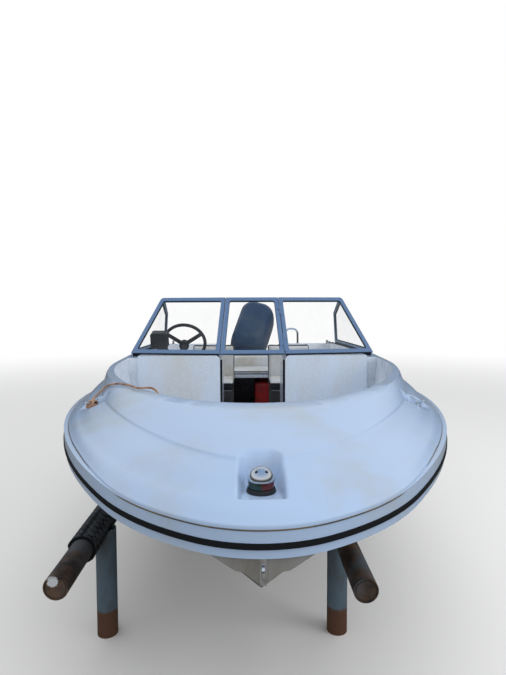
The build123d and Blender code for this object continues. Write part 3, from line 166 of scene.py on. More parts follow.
feed(GRIME, grime_out, {"Blotches": patches, "Mottle": fine.outputs["Fac"]})


def grime(tree, scale, amount, streak=1.0):
    sockets = {"Scale": scale, "Amount": amount, "Streak": streak}
    return add(tree, "ShaderNodeGroup", sockets, node_tree=GRIME).outputs


def relief(tree, height, strength, distance):
    sockets = {"Height": height, "Strength": strength, "Distance": distance}
    return add(tree, "ShaderNodeBump", sockets).outputs["Normal"]


def vary(tree, value, low, high):
    """Number that the mottle, mostly from 0.3 to 0.7, moves between low and high."""
    return ramp(tree, value, 0.3, 0.7, low, high)


def cover(tree, skin, dirt, colour, shine, bump=None, metallic=0.0, gloss=0.5):
    """Set the look of a material; shine is one roughness or two, bump the strength and depth."""
    if isinstance(shine, tuple):
        shine = vary(tree, dirt["Mottle"], *shine)
    feed(tree, skin, {"Base Color": colour, "Roughness": shine, "Metallic": metallic,
                      "Specular IOR Level": gloss})
    if bump:
        feed(tree, skin, {"Normal": relief(tree, dirt["Mottle"], *bump)})


def worn(name, scale, amount, pattern, clean, dirty, *look, **more):
    """Material that a pattern of grime takes from clean to dirty."""
    material, tree, skin = shader(name)
    dirt = grime(tree, scale, amount)
    cover(tree, skin, dirt, blend_colours(tree, dirt[pattern], clean, dirty), *look, **more)
    return material


# Near-black painted shade for the store under the bench
STORE_SHADE_COLOUR = (0.020, 0.018, 0.024)
COCKPIT_FROM = -0.75
GELCOAT_GRIME = 2.6
RIPPLE = {"Scale": 9.0, "Detail": 2.0}
RIPPLE_RELIEF = (0.12, 0.004)
GEL_COAT = {"Coat Weight": 0.35, "Coat Roughness": 0.06}


def gelcoat(name, clean, stained, amount, streak=1.0, shine=(0.10, 0.24), inward_painted_light=None, store=None):
    """Polished gelcoat, faintly rippled and stained; walls that face into the cockpit may take a lighter
    colour as painted light, and aft of and below the two levels of a store it is painted in shade."""
    material, tree, skin = shader(name)
    dirt = grime(tree, GELCOAT_GRIME, amount, streak)
    here = split(tree, spot(tree)) if inward_painted_light or store else None
    # Painted light: walls that face into the cockpit, and walls aft of its front that face forward, get a
    # lighter colour where they fall in shade
    if inward_painted_light:
        faces = split(tree, spot(tree, "Normal"))
        inward_lit_share = ramp(tree, maths(tree, "MULTIPLY", here["X"], faces["X"]), -0.08, -0.25)
        lit_end_wall = maths(tree, "MULTIPLY", ramp(tree, faces["Y"], -0.7, -0.9),
                         maths(tree, "GREATER_THAN", here["Y"], COCKPIT_FROM))
        clean = blend_colours(tree, maths(tree, "MAXIMUM", inward_lit_share, lit_end_wall), clean, inward_painted_light)
    colour = blend_colours(tree, dirt["Blotches"], clean, stained)
    # Painted shade: aft of and below the two levels of the store, the colour goes near black where the store
    # lies in shade
    if store:
        dark = maths(tree, "MULTIPLY", maths(tree, "GREATER_THAN", here["Y"], store[0]),
                     maths(tree, "LESS_THAN", here["Z"], store[1]))
        colour = blend_colours(tree, dark, colour, STORE_SHADE_COLOUR)
    ripple = add(tree, "ShaderNodeTexNoise", {"Vector": spot(tree), **RIPPLE})
    feed(tree, skin, {"Base Color": colour, "Roughness": vary(tree, dirt["Mottle"], *shine),
                      "Normal": relief(tree, ripple.outputs["Fac"], *RIPPLE_RELIEF), **GEL_COAT})
    return material


SIDES = ("starboard", "port")
SAME_POINT = 0.00002


def finish(node, material, width=0.0, steps=3, angle=35):
    """Give a node of the frame its material, and round its moulded edges to a width."""
    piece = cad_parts[node]
    piece.data.materials.clear()
    piece.data.materials.append(material)
    if not width:
        return
    weld = piece.modifiers.new("weld", "WELD")
    weld.merge_threshold = SAME_POINT
    bevel = piece.modifiers.new("round", "BEVEL")
    bevel.width = width
    bevel.segments = steps
    bevel.limit_method = "ANGLE"
    bevel.angle_limit = math.radians(angle)
    bevel.harden_normals = True
    normals = piece.modifiers.new("normals", "WEIGHTED_NORMAL")
    normals.keep_sharp = False


CREAM = gelcoat("cream_gelcoat", (0.29, 0.30, 0.305), (0.18, 0.165, 0.14), 0.38, 0.35)
finish("hull", CREAM)

# Rub rail
# The joint of hull and deck is covered by a white moulding in two bands, with a black rubber strip let
# in between them.

WHITE_LOOK = ((0.42, 0.56, 0.79), (0.42, 0.50, 0.60), 0.34)
WHITE = gelcoat("white_gelcoat", *WHITE_LOOK)
finish("rail_upper", WHITE, 0.014, 4)
finish("rail_lower", WHITE, 0.010)

RUBBER = worn("black_rubber", 14.0, 0.35, "Mottle", (0.004, 0.005, 0.007), (0.016, 0.017, 0.020),
              (0.55, 0.75), (0.3, 0.0006), gloss=0.15)
finish("rub_strip", RUBBER, 0.003)


def link(name, data, material, body):
    """New piece from mesh or curve data, with a material, on a body of the frame."""
    piece = place_new(name, data)
    data.materials.append(material)
    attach(piece, body)
    return piece


def mesh_data(name, mesh):
    data = bpy.data.meshes.new(name)
    mesh.to_mesh(data)
    mesh.free()
    return data


def mesh_piece(name, mesh, material, smooth=lambda face: True, body="boat"):
    """New piece from faces, shaded smooth where a test of the face says so."""
    data = mesh_data(name, mesh)
    for face in data.polygons:
        face.use_smooth = smooth(face)
    return link(name, data, material, body)


def four_sided(face):
    return len(face.vertices) == 4


def bridge(mesh, rings):
    """Faces between each closed ring of points and the next."""
    for one, two in zip(rings, rings[1:]):
        for k in range(len(one)):
            near = (k + 1) % len(one)
            mesh.faces.new((one[k], one[near], two[near], two[k]))


def circle(steps):
    """Cosine and sine of even steps round a circle."""
    return [(math.cos(math.tau * k / steps), math.sin(math.tau * k / steps)) for k in range(steps)]


def face_tree(data):
    """Search tree of a mesh's faces."""
    return BVHTree.FromPolygons([v.co for v in data.vertices], [tuple(p.vertices) for p in data.polygons])


def round_curve(name, kind, lines, radius, roundness, closed):
    """Curve data of a round bar along each line of points."""
    curve = bpy.data.curves.new(name, "CURVE")
    curve.dimensions = "3D"
    curve.bevel_depth = radius
    curve.bevel_resolution = roundness
    curve.use_fill_caps = not closed
    for line in lines:
        spline = curve.splines.new(kind)
        spline.points.add(len(line) - 1)
        for point, at in zip(spline.points, line):
            point.co = (*at, 1.0)
        spline.use_cyclic_u = closed
    return curve


def tube(name, lines, radius, material, body="boat", closed=False, sides=6):
    """Round bead along each line of points."""
    return link(name, round_curve(name, "POLY", lines, radius, max(1, sides // 4), closed), material, body)


SHARP = 0.35


def sharp_lines(node, test):
    """Chains of points along the sharp edges of a node whose middle and face normals pass the test."""
    mesh = bmesh.new()
    mesh.from_mesh(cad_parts[node].data)
    bmesh.ops.remove_doubles(mesh, verts=mesh.verts, dist=SAME_POINT)
    follow = {}
    for edge in mesh.edges:
        if len(edge.link_faces) != 2 or not edge.is_convex or edge.calc_face_angle(0.0) < SHARP:
            continue
        a, b = edge.verts
        normals = [face.normal for face in edge.link_faces]
        if test((a.co + b.co) / 2, *normals) or test((a.co + b.co) / 2, *normals[::-1]):
            follow.setdefault(a.index, []).append(b.index)
            follow.setdefault(b.index, []).append(a.index)
    mesh.verts.ensure_lookup_table()
    spots = {index: mesh.verts[index].co.copy() for index in follow}
    mesh.free()
    lines = []
    while follow:
        ends = [index for index, near in follow.items() if len(near) == 1]
        here = min(ends) if ends else min(follow)
        line = [here]
        while follow.get(here):
            there = follow[here].pop()
            follow[there].remove(here)
            line.append(there)
            here = there
        follow = {index: near for index, near in follow.items() if near}
        lines.append([spots[index] for index in line])
    return lines


# Sealant in the joint between the rail and the deck, dark where dirt has settled
SEAM_RADIUS = 0.0022
SEAM = worn("dirty_sealant", 9.0, 0.42, "Blotches", (0.06, 0.065, 0.07), (0.15, 0.11, 0.055), 0.8)
STERN_FROM = 1.78
rail_lines = sharp_lines("rail_upper", lambda at, up, side: (
    up.z > 0.8 and side.z < 0.3 and side.dot(Vector((at.x, at.y * 0.6, 0))) < 0 and at.y < STERN_FROM))

# Deck and cockpit liner
# One white moulding with a raised plateau, pockets for the bow light and the cleats, and a deep
# cockpit; the liner below it is the inside of the cockpit.

# The liner takes painted shade in the store under the bench, a wall's thickness in from the store's front and
# top
STORE_WALL = 0.020
store_low, store_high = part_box("bench_base")
# The liner's white is mixed lighter than the deck's, painted light for the cockpit that stands in shade
INSIDE_LIT_AND_SHADED = gelcoat("liner_gelcoat", (0.62, 0.71, 0.84), (0.58, 0.60, 0.60), 0.34, 0.30, (0.16, 0.34),
                 store=(store_low.y + STORE_WALL, store_high.z - STORE_WALL))
# The deck's walls facing into the cockpit are painted lighter, painted light where they stand in shade
DECK = gelcoat("deck_gelcoat", *WHITE_LOOK, inward_painted_light=(0.78, 0.84, 0.92))
finish("deck", DECK, 0.006, 3, 30)
finish("cockpit_liner", INSIDE_LIT_AND_SHADED)

# Foredeck moulding
# The full, rounded skin of the bow, rolled down on to the rail, with the soft edges of its crease, of the
# scoop for the light and of the recesses for the cleats. Lengths in mm, aft from the bow tip; a level is
# its height at the bow, its nose, its inset from the beam, and the radius and angle of two arcs.

HALF_BEAM = 980.0
BOAT_AFT = 4560.0
STERN_NARROWING = 50.0
DECK_RISE = math.atan(0.030)
EDGE_LEVEL = (1088, 60, 60, 370, 25, 790, 52)
CREASE_LOW = (1146, 226, 75, 250, 35, 900, 50)
CREASE_HIGH = (1159, 238, 79, 248, 35, 880, 50)
COAMING_LEVEL = (1215, 640, 95, 560, 30, 560, 45)
SKIN_FRONT_EDGE = 1.0
SKIN_SIDE_EDGE = 22.0
SKIN_AFT_EDGE = 50.0
SKIN_OVERHANG = 9.0
WIDEN_FROM = 150.0
WIDEN_TO = 620.0
MORPH_FROM = 1300.0
MORPH_TO = 2150.0
SKIN_END = 2240.0
RAIL_ARCS = (430, 25, 850, 52)
RAIL_FOOT = 60.0
RAIL_TOP = 1060.0
FULLNESS = 12.0
SKIN_CLEAR = 0.6
SKIN_WIDER = 0.0018
UNDER_REACH = 12.0
INNER_SHARE = 0.85
ARC_STEPS = (34, 72, 230, 220)
EDGE_STEPS = 34
DECK_STEPS = 36
SCOOP_FLOOR = 1092.5
SCOOP_FRONT = 92.0
SCOOP_AFT = 257.0
SCOOP_HALF_FRONT = 60.0
SCOOP_HALF_AFT = 38.0
SCOOP_ROUND = 16.0
SCOOP_SLOPE = 2.6
SCOOP_RAMP = 0.9
SCOOP_SOFT = 12.0
CLEAT_X = 775.0
CLEAT_Y = 1100.0
CLEAT_FLOOR = 1141.0
CLEAT_ROUND = 55.0
CLEAT_SLOPE = 2.9
CLEAT_SOFT = 8.0
SCOOP_REACH = (130.0, 330.0)
CLEAT_REACH = 130.0
CLEAT_BEYOND = 600.0
ROLLED_POINTS = 8
PROBE_HEIGHT = 1.32


def outline_at(level, turn):
    """Plan point of a deck level; turn runs 0 to 1 over each of its four arcs from the nose aft."""
    height, nose, inset, r1, a1, r2, a2 = level
    x, along, begin = 0.0, nose, 0.0
    for arc in range(4):
        if arc < 2:
            radius, end = (r1, r2)[arc], math.radians((a1, a2)[arc])
        elif arc == 2:
            radius, end = (HALF_BEAM - inset - x) / (1 - math.sin(begin)), math.pi / 2
        else:
            run = BOAT_AFT - along
            radius = (run ** 2 + STERN_NARROWING ** 2) / (2 * STERN_NARROWING)
            end = begin + math.asin(run / radius)
        angle = begin + (end - begin) * min(1.0, turn - arc)
        x += radius * (math.sin(angle) - math.sin(begin))
        along += radius * (math.cos(begin) - math.cos(angle))
        if turn <= arc + 1:
            return x, along
        begin = end


def level_point(level, turn):
    x, along = outline_at(level, turn)
    return Vector((x, along * math.cos(DECK_RISE), level[0] + along * math.sin(DECK_RISE)))


def top_at(trees, x, along):
    """Height in mm of the highest face under a plan point, or None."""
    above = Vector((x / 1000, along / 1000 + BOW_TO_FRAME, PROBE_HEIGHT))
    hits = [tree.ray_cast(above, up(-1))[0] for tree in trees]
    return max([hit.z * 1000 for hit in hits if hit], default=None)


def least(a, b, soft):
    """Lower of two heights, rounded over where they meet."""
    share = min(1.0, max(0.0, 0.5 + 0.5 * (b - a) / soft))
    return b * (1 - share) + a * share - soft * share * (1 - share)


def scoop(x, along):
    """Height of the walls and floor of the scoop for the light."""
    share = (along - SCOOP_FRONT) / (SCOOP_AFT - SCOOP_FRONT)
    side = abs(x) - SCOOP_HALF_FRONT - (SCOOP_HALF_AFT - SCOOP_HALF_FRONT) * share
    end = along - SCOOP_AFT
    if side > -SCOOP_ROUND and end > -SCOOP_ROUND:
        out = math.hypot(side + SCOOP_ROUND, end + SCOOP_ROUND) - SCOOP_ROUND
    else:
        out = max(side, end)
    return SCOOP_FLOOR + max(SCOOP_SLOPE * max(0.0, out), SCOOP_RAMP * max(0.0, SCOOP_FRONT - along))


def cleat_recess(x, along):
    out = math.hypot(abs(x) - CLEAT_X, along - CLEAT_Y) - CLEAT_ROUND
    return CLEAT_FLOOR + CLEAT_SLOPE * max(0.0, out)


def eased(value, start, stop):
    """Share from 0 to 1 as a value goes from start to stop, slow at both ends."""
    share = min(1.0, max(0.0, (value - start) / (stop - start)))
    return share * share * (3 - 2 * share)


def spline_points(corners, count):
    """Points of a smooth curve that starts and ends at the first and last corner."""
    mids = [corners[0]] + [(a + b) / 2 for a, b in zip(corners[1:-2], corners[2:-1])] + [corners[-1]]
    points = []
    legs = len(mids) - 1
    for k in range(count):
        place = k / (count - 1) * legs
        leg = min(int(place), legs - 1)
        t = place - leg
        points.append(mids[leg].lerp(corners[leg + 1], t).lerp(corners[leg + 1].lerp(mids[leg + 1], t), t))
    return points


def up(length):
    return Vector((0, 0, length))


BOW_TO_FRAME = -2.6985
deck_top = [face_tree(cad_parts[node].data) for node in ("deck", "rail_upper")]
half_rows = []
for turn in [arc + k / steps for arc, steps in enumerate(ARC_STEPS) for k in range(steps)]:
    far = level_point(EDGE_LEVEL, turn)
    if far.y > SKIN_END:
        break
    late = eased(far.y, MORPH_FROM, MORPH_TO)
    early = eased(far.y, WIDEN_FROM, WIDEN_TO)
    first = (SKIN_FRONT_EDGE + (SKIN_SIDE_EDGE - SKIN_FRONT_EDGE) * early
             + (SKIN_AFT_EDGE - SKIN_SIDE_EDGE) * late)

    def rail_point(inset, height):
        r1, a1, r2, a2 = RAIL_ARCS
        return Vector((*outline_at((0, inset, inset, r1 - inset, a1, r2 - inset, a2), turn), height))

    low = top_at(deck_top[1:], *rail_point(first + 4, 0).xy) or RAIL_TOP
    full = FULLNESS * (1 - 0.9 * late)
    drop = SKIN_OVERHANG * (1 - early) * (1 - late)
    edge = far + up(full)
    rise = edge.z - low
    wide = RAIL_FOOT - first
    crease = level_point(CREASE_LOW, turn)
    lip = level_point(CREASE_HIGH, turn)
    step = crease.lerp(lip, 0.35) + up(1.0)
    corners = [
        rail_point(first - 1.2 * (1 - late), low + 0.5 - drop),
        rail_point(first - 1.6 * (1 - late), low + 5.0 - 0.3 * drop),
        rail_point(first + 0.10 * wide, low + 8.0),
        rail_point(first + 0.42 * wide, low + 0.62 * rise),
        rail_point(first + 0.80 * wide, low + 0.95 * rise),
        edge + (crease - edge) * 0.12,
        edge.lerp(crease, 0.5) + up(0.75 * full),
        edge.lerp(crease, 0.93) + up(4.0),
        step,
    ]
    line = spline_points(corners, EDGE_STEPS) + [step.lerp(lip, 0.5), lip]
    inner = lip.lerp(level_point(COAMING_LEVEL, turn), INNER_SHARE)
    line += [lip.lerp(inner, k / DECK_STEPS) for k in range(1, DECK_STEPS + 1)]
    row = []
    for k, at in enumerate(line):
        x = at.x * (1 + SKIN_WIDER * (1 - 0.8 * late))
        z = at.z + SKIN_CLEAR
        under = top_at(deck_top, x, at.y) if k >= ROLLED_POINTS else None
        if under and under - z < UNDER_REACH:
            z = max(z, under + SKIN_CLEAR)
        if x < SCOOP_REACH[0] and at.y < SCOOP_REACH[1]:
            z = least(z, scoop(x, at.y), SCOOP_SOFT)
        if abs(at.y - CLEAT_Y) < CLEAT_REACH and x > CLEAT_BEYOND:
            z = least(z, cleat_recess(x, at.y), CLEAT_SOFT)
        row.append(Vector((x / 1000, at.y / 1000 + BOW_TO_FRAME, z / 1000)))
    half_rows.append(row)
rows = [[Vector((-at.x, at.y, at.z)) for at in row] for row in half_rows[:0:-1]] + half_rows
mesh = bmesh.new()
grid = [[mesh.verts.new(at) for at in row] for row in rows]
for one, two in zip(grid, grid[1:]):
    for k in range(len(one) - 1):
        mesh.faces.new((one[k], two[k], two[k + 1], one[k + 1]))
mesh_piece("foredeck_moulding", mesh, WHITE)

seam_lines = [[row[0] for row in rows]]
for line in rail_lines:
    for side in (-1, 1):
        part = [at for at in line if at.y > SKIN_END / 1000 + BOW_TO_FRAME and at.x * side > 0]
        if len(part) > 1:
            seam_lines.append(sorted(part, key=lambda at: at.y))
tube("deck_seam", seam_lines, SEAM_RADIUS, SEAM)

# Cockpit sole
# Dark grey marine carpet, glued to the floor of the cockpit.

CARPET = worn("marine_carpet", 40.0, 0.45, "Mottle", (0.030, 0.032, 0.036), (0.085, 0.085, 0.088),
              0.95, (0.8, 0.003))
finish("cockpit_sole", CARPET)

# Bulkheads and consoles
# Two moulded boxes stand beside the walkway and carry the windshield and the dash; a black bead down each of
# their edges by the walkway is a painted shadow line, where the walkway beside them lies in shade.

SHADE_LINE_RADIUS = 0.008
SHADE_LINE_IN = 0.006
SHADE_LINE_AFT = 0.028
SHADE_LINE_LOW = 0.670
SHADE_LINE_BELOW_TOP = 0.03
SHADE_LINE_STEPS = 20
# Painted shadow: a black rubber bead down each box's edge by the walkway, a dark line where the walkway lies
# in shade
for side, lean in (("starboard", -1), ("port", 1)):
    finish("console_" + side, INSIDE_LIT_AND_SHADED, 0.008)
    low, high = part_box("console_" + side)
    edge_x = (high.x if lean < 0 else low.x) - lean * SHADE_LINE_IN
    tall = high.z - SHADE_LINE_BELOW_TOP - SHADE_LINE_LOW
    heights = [SHADE_LINE_LOW + tall * k / SHADE_LINE_STEPS for k in range(SHADE_LINE_STEPS + 1)]
    shade_points = [Vector((edge_x, low.y + SHADE_LINE_AFT, height)) for height in heights]
    tube("walkway_shade_line_" + side, [shade_points], SHADE_LINE_RADIUS, RUBBER, sides=12)

# Bow light
# A two-colour navigation light on a black foot, green to starboard and red to port, with a
# chromed dome held by two small screws.

CHROME = worn("bright_metal", 30.0, 0.30, "Blotches", (0.78, 0.79, 0.81), (0.42, 0.40, 0.37),
              (0.08, 0.22), metallic=1.0)
BLACK_PLASTIC = worn("black_plastic", 30.0, 0.4, "Mottle", (0.012, 0.013, 0.015), (0.028, 0.030, 0.034),
                     (0.32, 0.52), (0.25, 0.0004), gloss=0.3)

LENS, tree, skin = shader("two_colour_lens")
halves = ramp(tree, split(tree, spot(tree))["X"], -0.004, 0.004)
ribs = add(tree, "ShaderNodeTexWave", {"Vector": spot(tree), "Scale": 60.0}, bands_direction="X")
feed(tree, skin, {"Base Color": blend_colours(tree, halves, (0.004, 0.028, 0.020), (0.075, 0.006, 0.006)),
                  "Normal": relief(tree, ribs.outputs["Fac"], 0.5, 0.001),
                  "Roughness": 0.12, "Coat Weight": 0.3})


def lathe(name, profile, place, material, steps):
    """Turned piece from radius and height pairs, about the z axis of its place."""
    mesh = bmesh.new()
    rings = [[mesh.verts.new(place @ Vector((radius * across, radius * away, height)))
              for across, away in (circle(steps) if radius else [(0, 0)])] for radius, height in profile]
    for low, high in zip(rings, rings[1:]):
        for k in range(steps):
            near = (k + 1) % steps
            corners = (low[k % len(low)], low[near % len(low)], high[near % len(high)], high[k % len(high)])
            distinct = list(dict.fromkeys(corners))
            if len(distinct) > 2:
                mesh.faces.new(distinct)
    bmesh.ops.recalc_face_normals(mesh, faces=mesh.faces)
    return mesh_piece(name, mesh, material)


def facing(at, out):
    """Place at a point, with its z axis along a direction."""
    return Matrix.Translation(at) @ out.to_track_quat("Z", "Y").to_matrix().to_4x4()


LIGHT_STEPS = 56
LENS_TOP_RADIUS = 0.037
DOME_DROP = 0.007
DOME_RISE = 0.005
DOME_STEPS = 12
SCREW_LEAN = math.radians(50)
LIGHT_SCREW = [(0, 0.0012), (0.0035, 0.0010), (0.0045, 0.0), (0.0045, -0.003)]
base_low, base_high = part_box("nav_light_base")
cap_low, cap_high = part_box("nav_light_cap")
light_radius = (base_high.x - base_low.x) / 2
light_place = Matrix.Translation((0, (base_low.y + base_high.y) / 2, base_low.z))
base_top = base_high.z - base_low.z
lens_top = cap_low.z - base_low.z
dome_low = lens_top - DOME_DROP
dome_high = cap_high.z - base_low.z + DOME_RISE - dome_low
dome_radius = LENS_TOP_RADIUS + 0.0022
skirt = [(0, 0.0), (light_radius, 0.0), (light_radius, 0.004), (light_radius - 0.002, base_top * 0.7),
         (light_radius - 0.0035, base_top), (0, base_top)]
barrel = [(0, base_top - 0.001), (light_radius - 0.005, base_top - 0.001),
          (light_radius - 0.006, base_top + 0.006), (LENS_TOP_RADIUS + 0.001, lens_top - 0.004),
          (LENS_TOP_RADIUS - 0.001, lens_top), (0, lens_top)]
dome = [(dome_radius - 0.002, dome_low + 0.001), (dome_radius, dome_low)]
for turn in range(1, DOME_STEPS):
    lean = math.radians(90 * turn / DOME_STEPS)
    dome.append((dome_radius * math.cos(lean), dome_low + dome_high * math.sin(lean)))
dome.append((0, dome_low + dome_high))
LIGHT_PARTS = [("skirt", skirt, BLACK_PLASTIC, "base"), ("barrel", barrel, LENS, "lens"),
               ("dome", dome, CHROME, "cap")]
for part, profile, material, node in LIGHT_PARTS:
    piece = lathe("nav_light_" + part, profile, light_place, material, LIGHT_STEPS)
    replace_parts(piece, "nav_light_" + node)
for turn in (125, 55):
    across = Vector((math.cos(math.radians(turn)), -math.sin(math.radians(turn)), 0)) * math.cos(SCREW_LEAN)
    out = (across * dome_high + up(math.sin(SCREW_LEAN) * dome_radius)).normalized()
    seat = light_place @ (across * dome_radius + up(dome_low + dome_high * math.sin(SCREW_LEAN)))
    lathe("nav_light_screw_%d" % turn, LIGHT_SCREW, facing(seat, out), BLACK_PLASTIC, 16)

# Cleats, bow eye and stern rail
# Stainless fittings, bolted down: the cleats sit in their own pockets, the eye goes through the stem.
# A bow cleat is a plate, two legs and a bar with upturned horns, cast in one.

for node in ("stern_cleat_starboard", "stern_cleat_port", "gunwale_fittings", "bow_eye", "stern_grab_rail"):
    finish(node, CHROME)

CLEAT_PLATE = 0.003
CLEAT_OVAL = (0.036, 0.014)
CLEAT_BAR = [  # place along the bar, height, radius
    (-0.054, 0.040, 0.0035), (-0.044, 0.036, 0.0050), (-0.028, 0.028, 0.0065), (-0.010, 0.024, 0.0072),
    (0.010, 0.024, 0.0072), (0.028, 0.028, 0.0065), (0.044, 0.036, 0.0050), (0.054, 0.040, 0.0035)]
CLEAT_LEG = [(0.0, 0.0085), (0.008, 0.0066), (0.024, 0.0062)]
CLEAT_LEGS = 0.017
CLEAT_TURN = {"starboard": 76.5, "port": 103.5}


def rod(mesh, place, points, sides=14):
    """Round bar through points given as place and radius, closed at both ends."""
    rings = []
    for k, (at, radius) in enumerate(points):
        along = (points[min(k + 1, len(points) - 1)][0] - points[max(k - 1, 0)][0]).normalized()
        across = along.cross(Vector((0, 1, 0))).normalized()
        away = along.cross(across)
        ring = [at + radius * (across * a + away * b) for a, b in circle(sides)]
        rings.append([mesh.verts.new(place @ point) for point in ring])
    bridge(mesh, rings)
    mesh.faces.new(rings[0])
    mesh.faces.new(rings[-1])


cleat_places = {}
for side, turn in CLEAT_TURN.items():
    low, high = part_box("bow_cleat_" + side)
    foot = ((low.x + high.x) / 2, (low.y + high.y) / 2, low.z + 0.001)
    cleat_places[side] = place = Matrix.Translation(foot) @ turned(turn, "Z")
    mesh = bmesh.new()
    rod(mesh, place, [(Vector((x, 0, z)), radius) for x, z, radius in CLEAT_BAR])
    for leg in (-CLEAT_LEGS, CLEAT_LEGS):
        rod(mesh, place, [(Vector((leg, 0, z)), radius) for z, radius in CLEAT_LEG])
    plate = ((1.0, 0.0), (1.0, CLEAT_PLATE * 0.6), (0.94, CLEAT_PLATE))
    rings = [[mesh.verts.new(place @ Vector((CLEAT_OVAL[0] * a * grow, CLEAT_OVAL[1] * b * grow, z)))
              for a, b in circle(40)] for grow, z in plate]
    bridge(mesh, rings)
    mesh.faces.new(rings[-1])
    mesh.faces.new(rings[0])
    bmesh.ops.recalc_face_normals(mesh, faces=mesh.faces)
    cleat = mesh_piece("cleat_" + side, mesh, CHROME, four_sided)
    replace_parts(cleat, "bow_cleat_" + side)

# Mooring rope
# Orange-brown braided rope, hitched round the starboard cleat, led over the coaming and coiled on the
# bow seat.

ROPE_THICK = 0.009
ROPE_ROUTE = [
    (-0.782, -1.5835, 1.157), (-0.786, -1.5515, 1.165), (-0.79, -1.5185, 1.182),
    (-0.781, -1.4855, 1.191), (-0.754, -1.4735, 1.219), (-0.727, -1.4945, 1.238),
    (-0.703, -1.5255, 1.247), (-0.673, -1.5555, 1.254), (-0.64, -1.5845, 1.259),
    (-0.606, -1.6085, 1.257), (-0.574, -1.6425, 1.257), (-0.553, -1.6805, 1.256),
    (-0.528, -1.7125, 1.258), (-0.496, -1.7325, 1.262), (-0.464, -1.7375, 1.264),
    (-0.438, -1.7335, 1.246), (-0.436, -1.7295, 1.21), (-0.439, -1.7265, 1.168),
    (-0.432, -1.7195, 1.124), (-0.423, -1.7115, 1.079), (-0.415, -1.7025, 1.034),
    (-0.406, -1.6955, 0.989), (-0.398, -1.6845, 0.945), (-0.391, -1.6725, 0.905),
    (-0.387, -1.6455, 0.876), (-0.385, -1.6105, 0.867), (-0.378, -1.5745, 0.8652),
    (-0.3765, -1.5455, 0.8652), (-0.375, -1.5195, 0.8652),
]
COIL_MIDDLE = Vector((-0.425, -1.5185, 0.0))
COIL_POINTS = 14
COIL_STEPS = [  # turns, radius, height
    (0.00, 0.05, 0.8652), (0.15, 0.0552, 0.865), (0.72, 0.0552, 0.865), (0.88, 0.046, 0.865),
    (1.85, 0.046, 0.865), (2.02, 0.046, 0.874), (2.85, 0.046, 0.874), (3.02, 0.0552, 0.874),
    (3.85, 0.0552, 0.874), (4.02, 0.0505, 0.8826), (4.55, 0.0505, 0.8826),
]

ROPE, tree, skin = shader("braided_rope")
braid = {"Vector": spot(tree), "Scale": 90.0, "Distortion": 6.0, "Detail": 1.0}
strand = add(tree, "ShaderNodeTexWave", braid, bands_direction="DIAGONAL")
weave = blend_colours(tree, strand.outputs["Fac"], (0.50, 0.25, 0.13), (0.62, 0.40, 0.27))
soil = grime(tree, 26.0, 0.40)["Blotches"]
feed(tree, skin, {"Base Color": blend_colours(tree, soil, weave, (0.20, 0.11, 0.07)), "Roughness": 0.85,
                  "Normal": relief(tree, strand.outputs["Fac"], 0.7, 0.0012)})


def coil_point(turns):
    """Point of the coil after a number of turns."""
    for low, high in zip(COIL_STEPS, COIL_STEPS[1:]):
        if turns <= high[0] + 1e-6:
            share = (turns - low[0]) / (high[0] - low[0])
            radius = low[1] + share * (high[1] - low[1])
            height = low[2] + share * (high[2] - low[2])
            break
    angle = math.tau * turns
    return COIL_MIDDLE + Vector((radius * math.cos(angle), radius * math.sin(angle), height))


def rope_line(name, points, closed=False):
    """Rope along a smooth spline."""
    curve = round_curve(name, "NURBS", [points], ROPE_THICK / 2, 3, closed)
    curve.resolution_u = 6
    spline = curve.splines[0]
    spline.order_u = 3
    spline.use_endpoint_u = not closed
    return link(name, curve, ROPE, "boat")


coil = [coil_point(k / COIL_POINTS) for k in range(1, int(COIL_STEPS[-1][0] * COIL_POINTS) + 1)]
rope = rope_line("rope", ROPE_ROUTE + coil)
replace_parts(rope, "mooring_rope", "rope_coil")

hitch_place = cleat_places["starboard"]
HITCH_TURNS = [(0.011, 0.034, 0.0125), (0.019, 0.031, 0.0135)]  # height, half length, half width
for count, (high, reach, wide) in enumerate(HITCH_TURNS):
    ring = [hitch_place @ Vector((reach * a, wide * b, high)) for a, b in circle(12)]
    rope_line("cleat_hitch_%d" % count, ring, True)
for count, lean in enumerate((-1, 1)):
    loop = [(-0.030, 0.010 * lean, 0.020), (-0.010, 0.016 * lean, 0.033), (0.010, -0.006 * lean, 0.042),
            (0.030, -0.014 * lean, 0.028), (0.036, -0.004 * lean, 0.016), (0.020, 0.017 * lean, 0.014),
            (-0.015, 0.018 * lean, 0.012), (-0.036, 0.002, 0.012)]
    rope_line("cleat_wrap_%d" % count, [hitch_place @ Vector(at) for at in loop], True)

# Windshield
# Anodised alloy frames with rubber channels around clear panes, screwed down to the bulkheads and
# the side decks; the middle pane is a gate on two hinges.

ALLOY = worn("anodised_alloy", 12.0, 0.34, "Mottle", (0.18, 0.27, 0.42), (0.30, 0.41, 0.57),
             (0.26, 0.42), metallic=0.75)

CLEAR, tree, skin = shader("clear_pane")
rim = add(tree, "ShaderNodeLayerWeight", {"Blend": 0.35})
veil = maths(tree, "MULTIPLY", rim.outputs["Facing"], 0.05)
film = maths(tree, "MULTIPLY", grime(tree, 5.0, 0.38, 0.4)["Blotches"], 0.03)
feed(tree, skin, {"Base Color": (0.42, 0.47, 0.50, 1.0), "Roughness": 0.03,
                  "Alpha": maths(tree, "ADD", maths(tree, "ADD", veil, film), 0.012)})

for side in SIDES:
    finish("windshield_frame_" + side, ALLOY, 0.003, 2)
    finish("windshield_glass_" + side, CLEAR)
    finish("side_glass_" + side, CLEAR)
    finish("windshield_seal_" + side, RUBBER)
finish("gate_frame", ALLOY, 0.003, 2)
finish("gate_glass", CLEAR)

# Black rubber lips that hold each pane in its frame
LIP_RADIUS = 0.0024
LIP_REACH = 0.0014


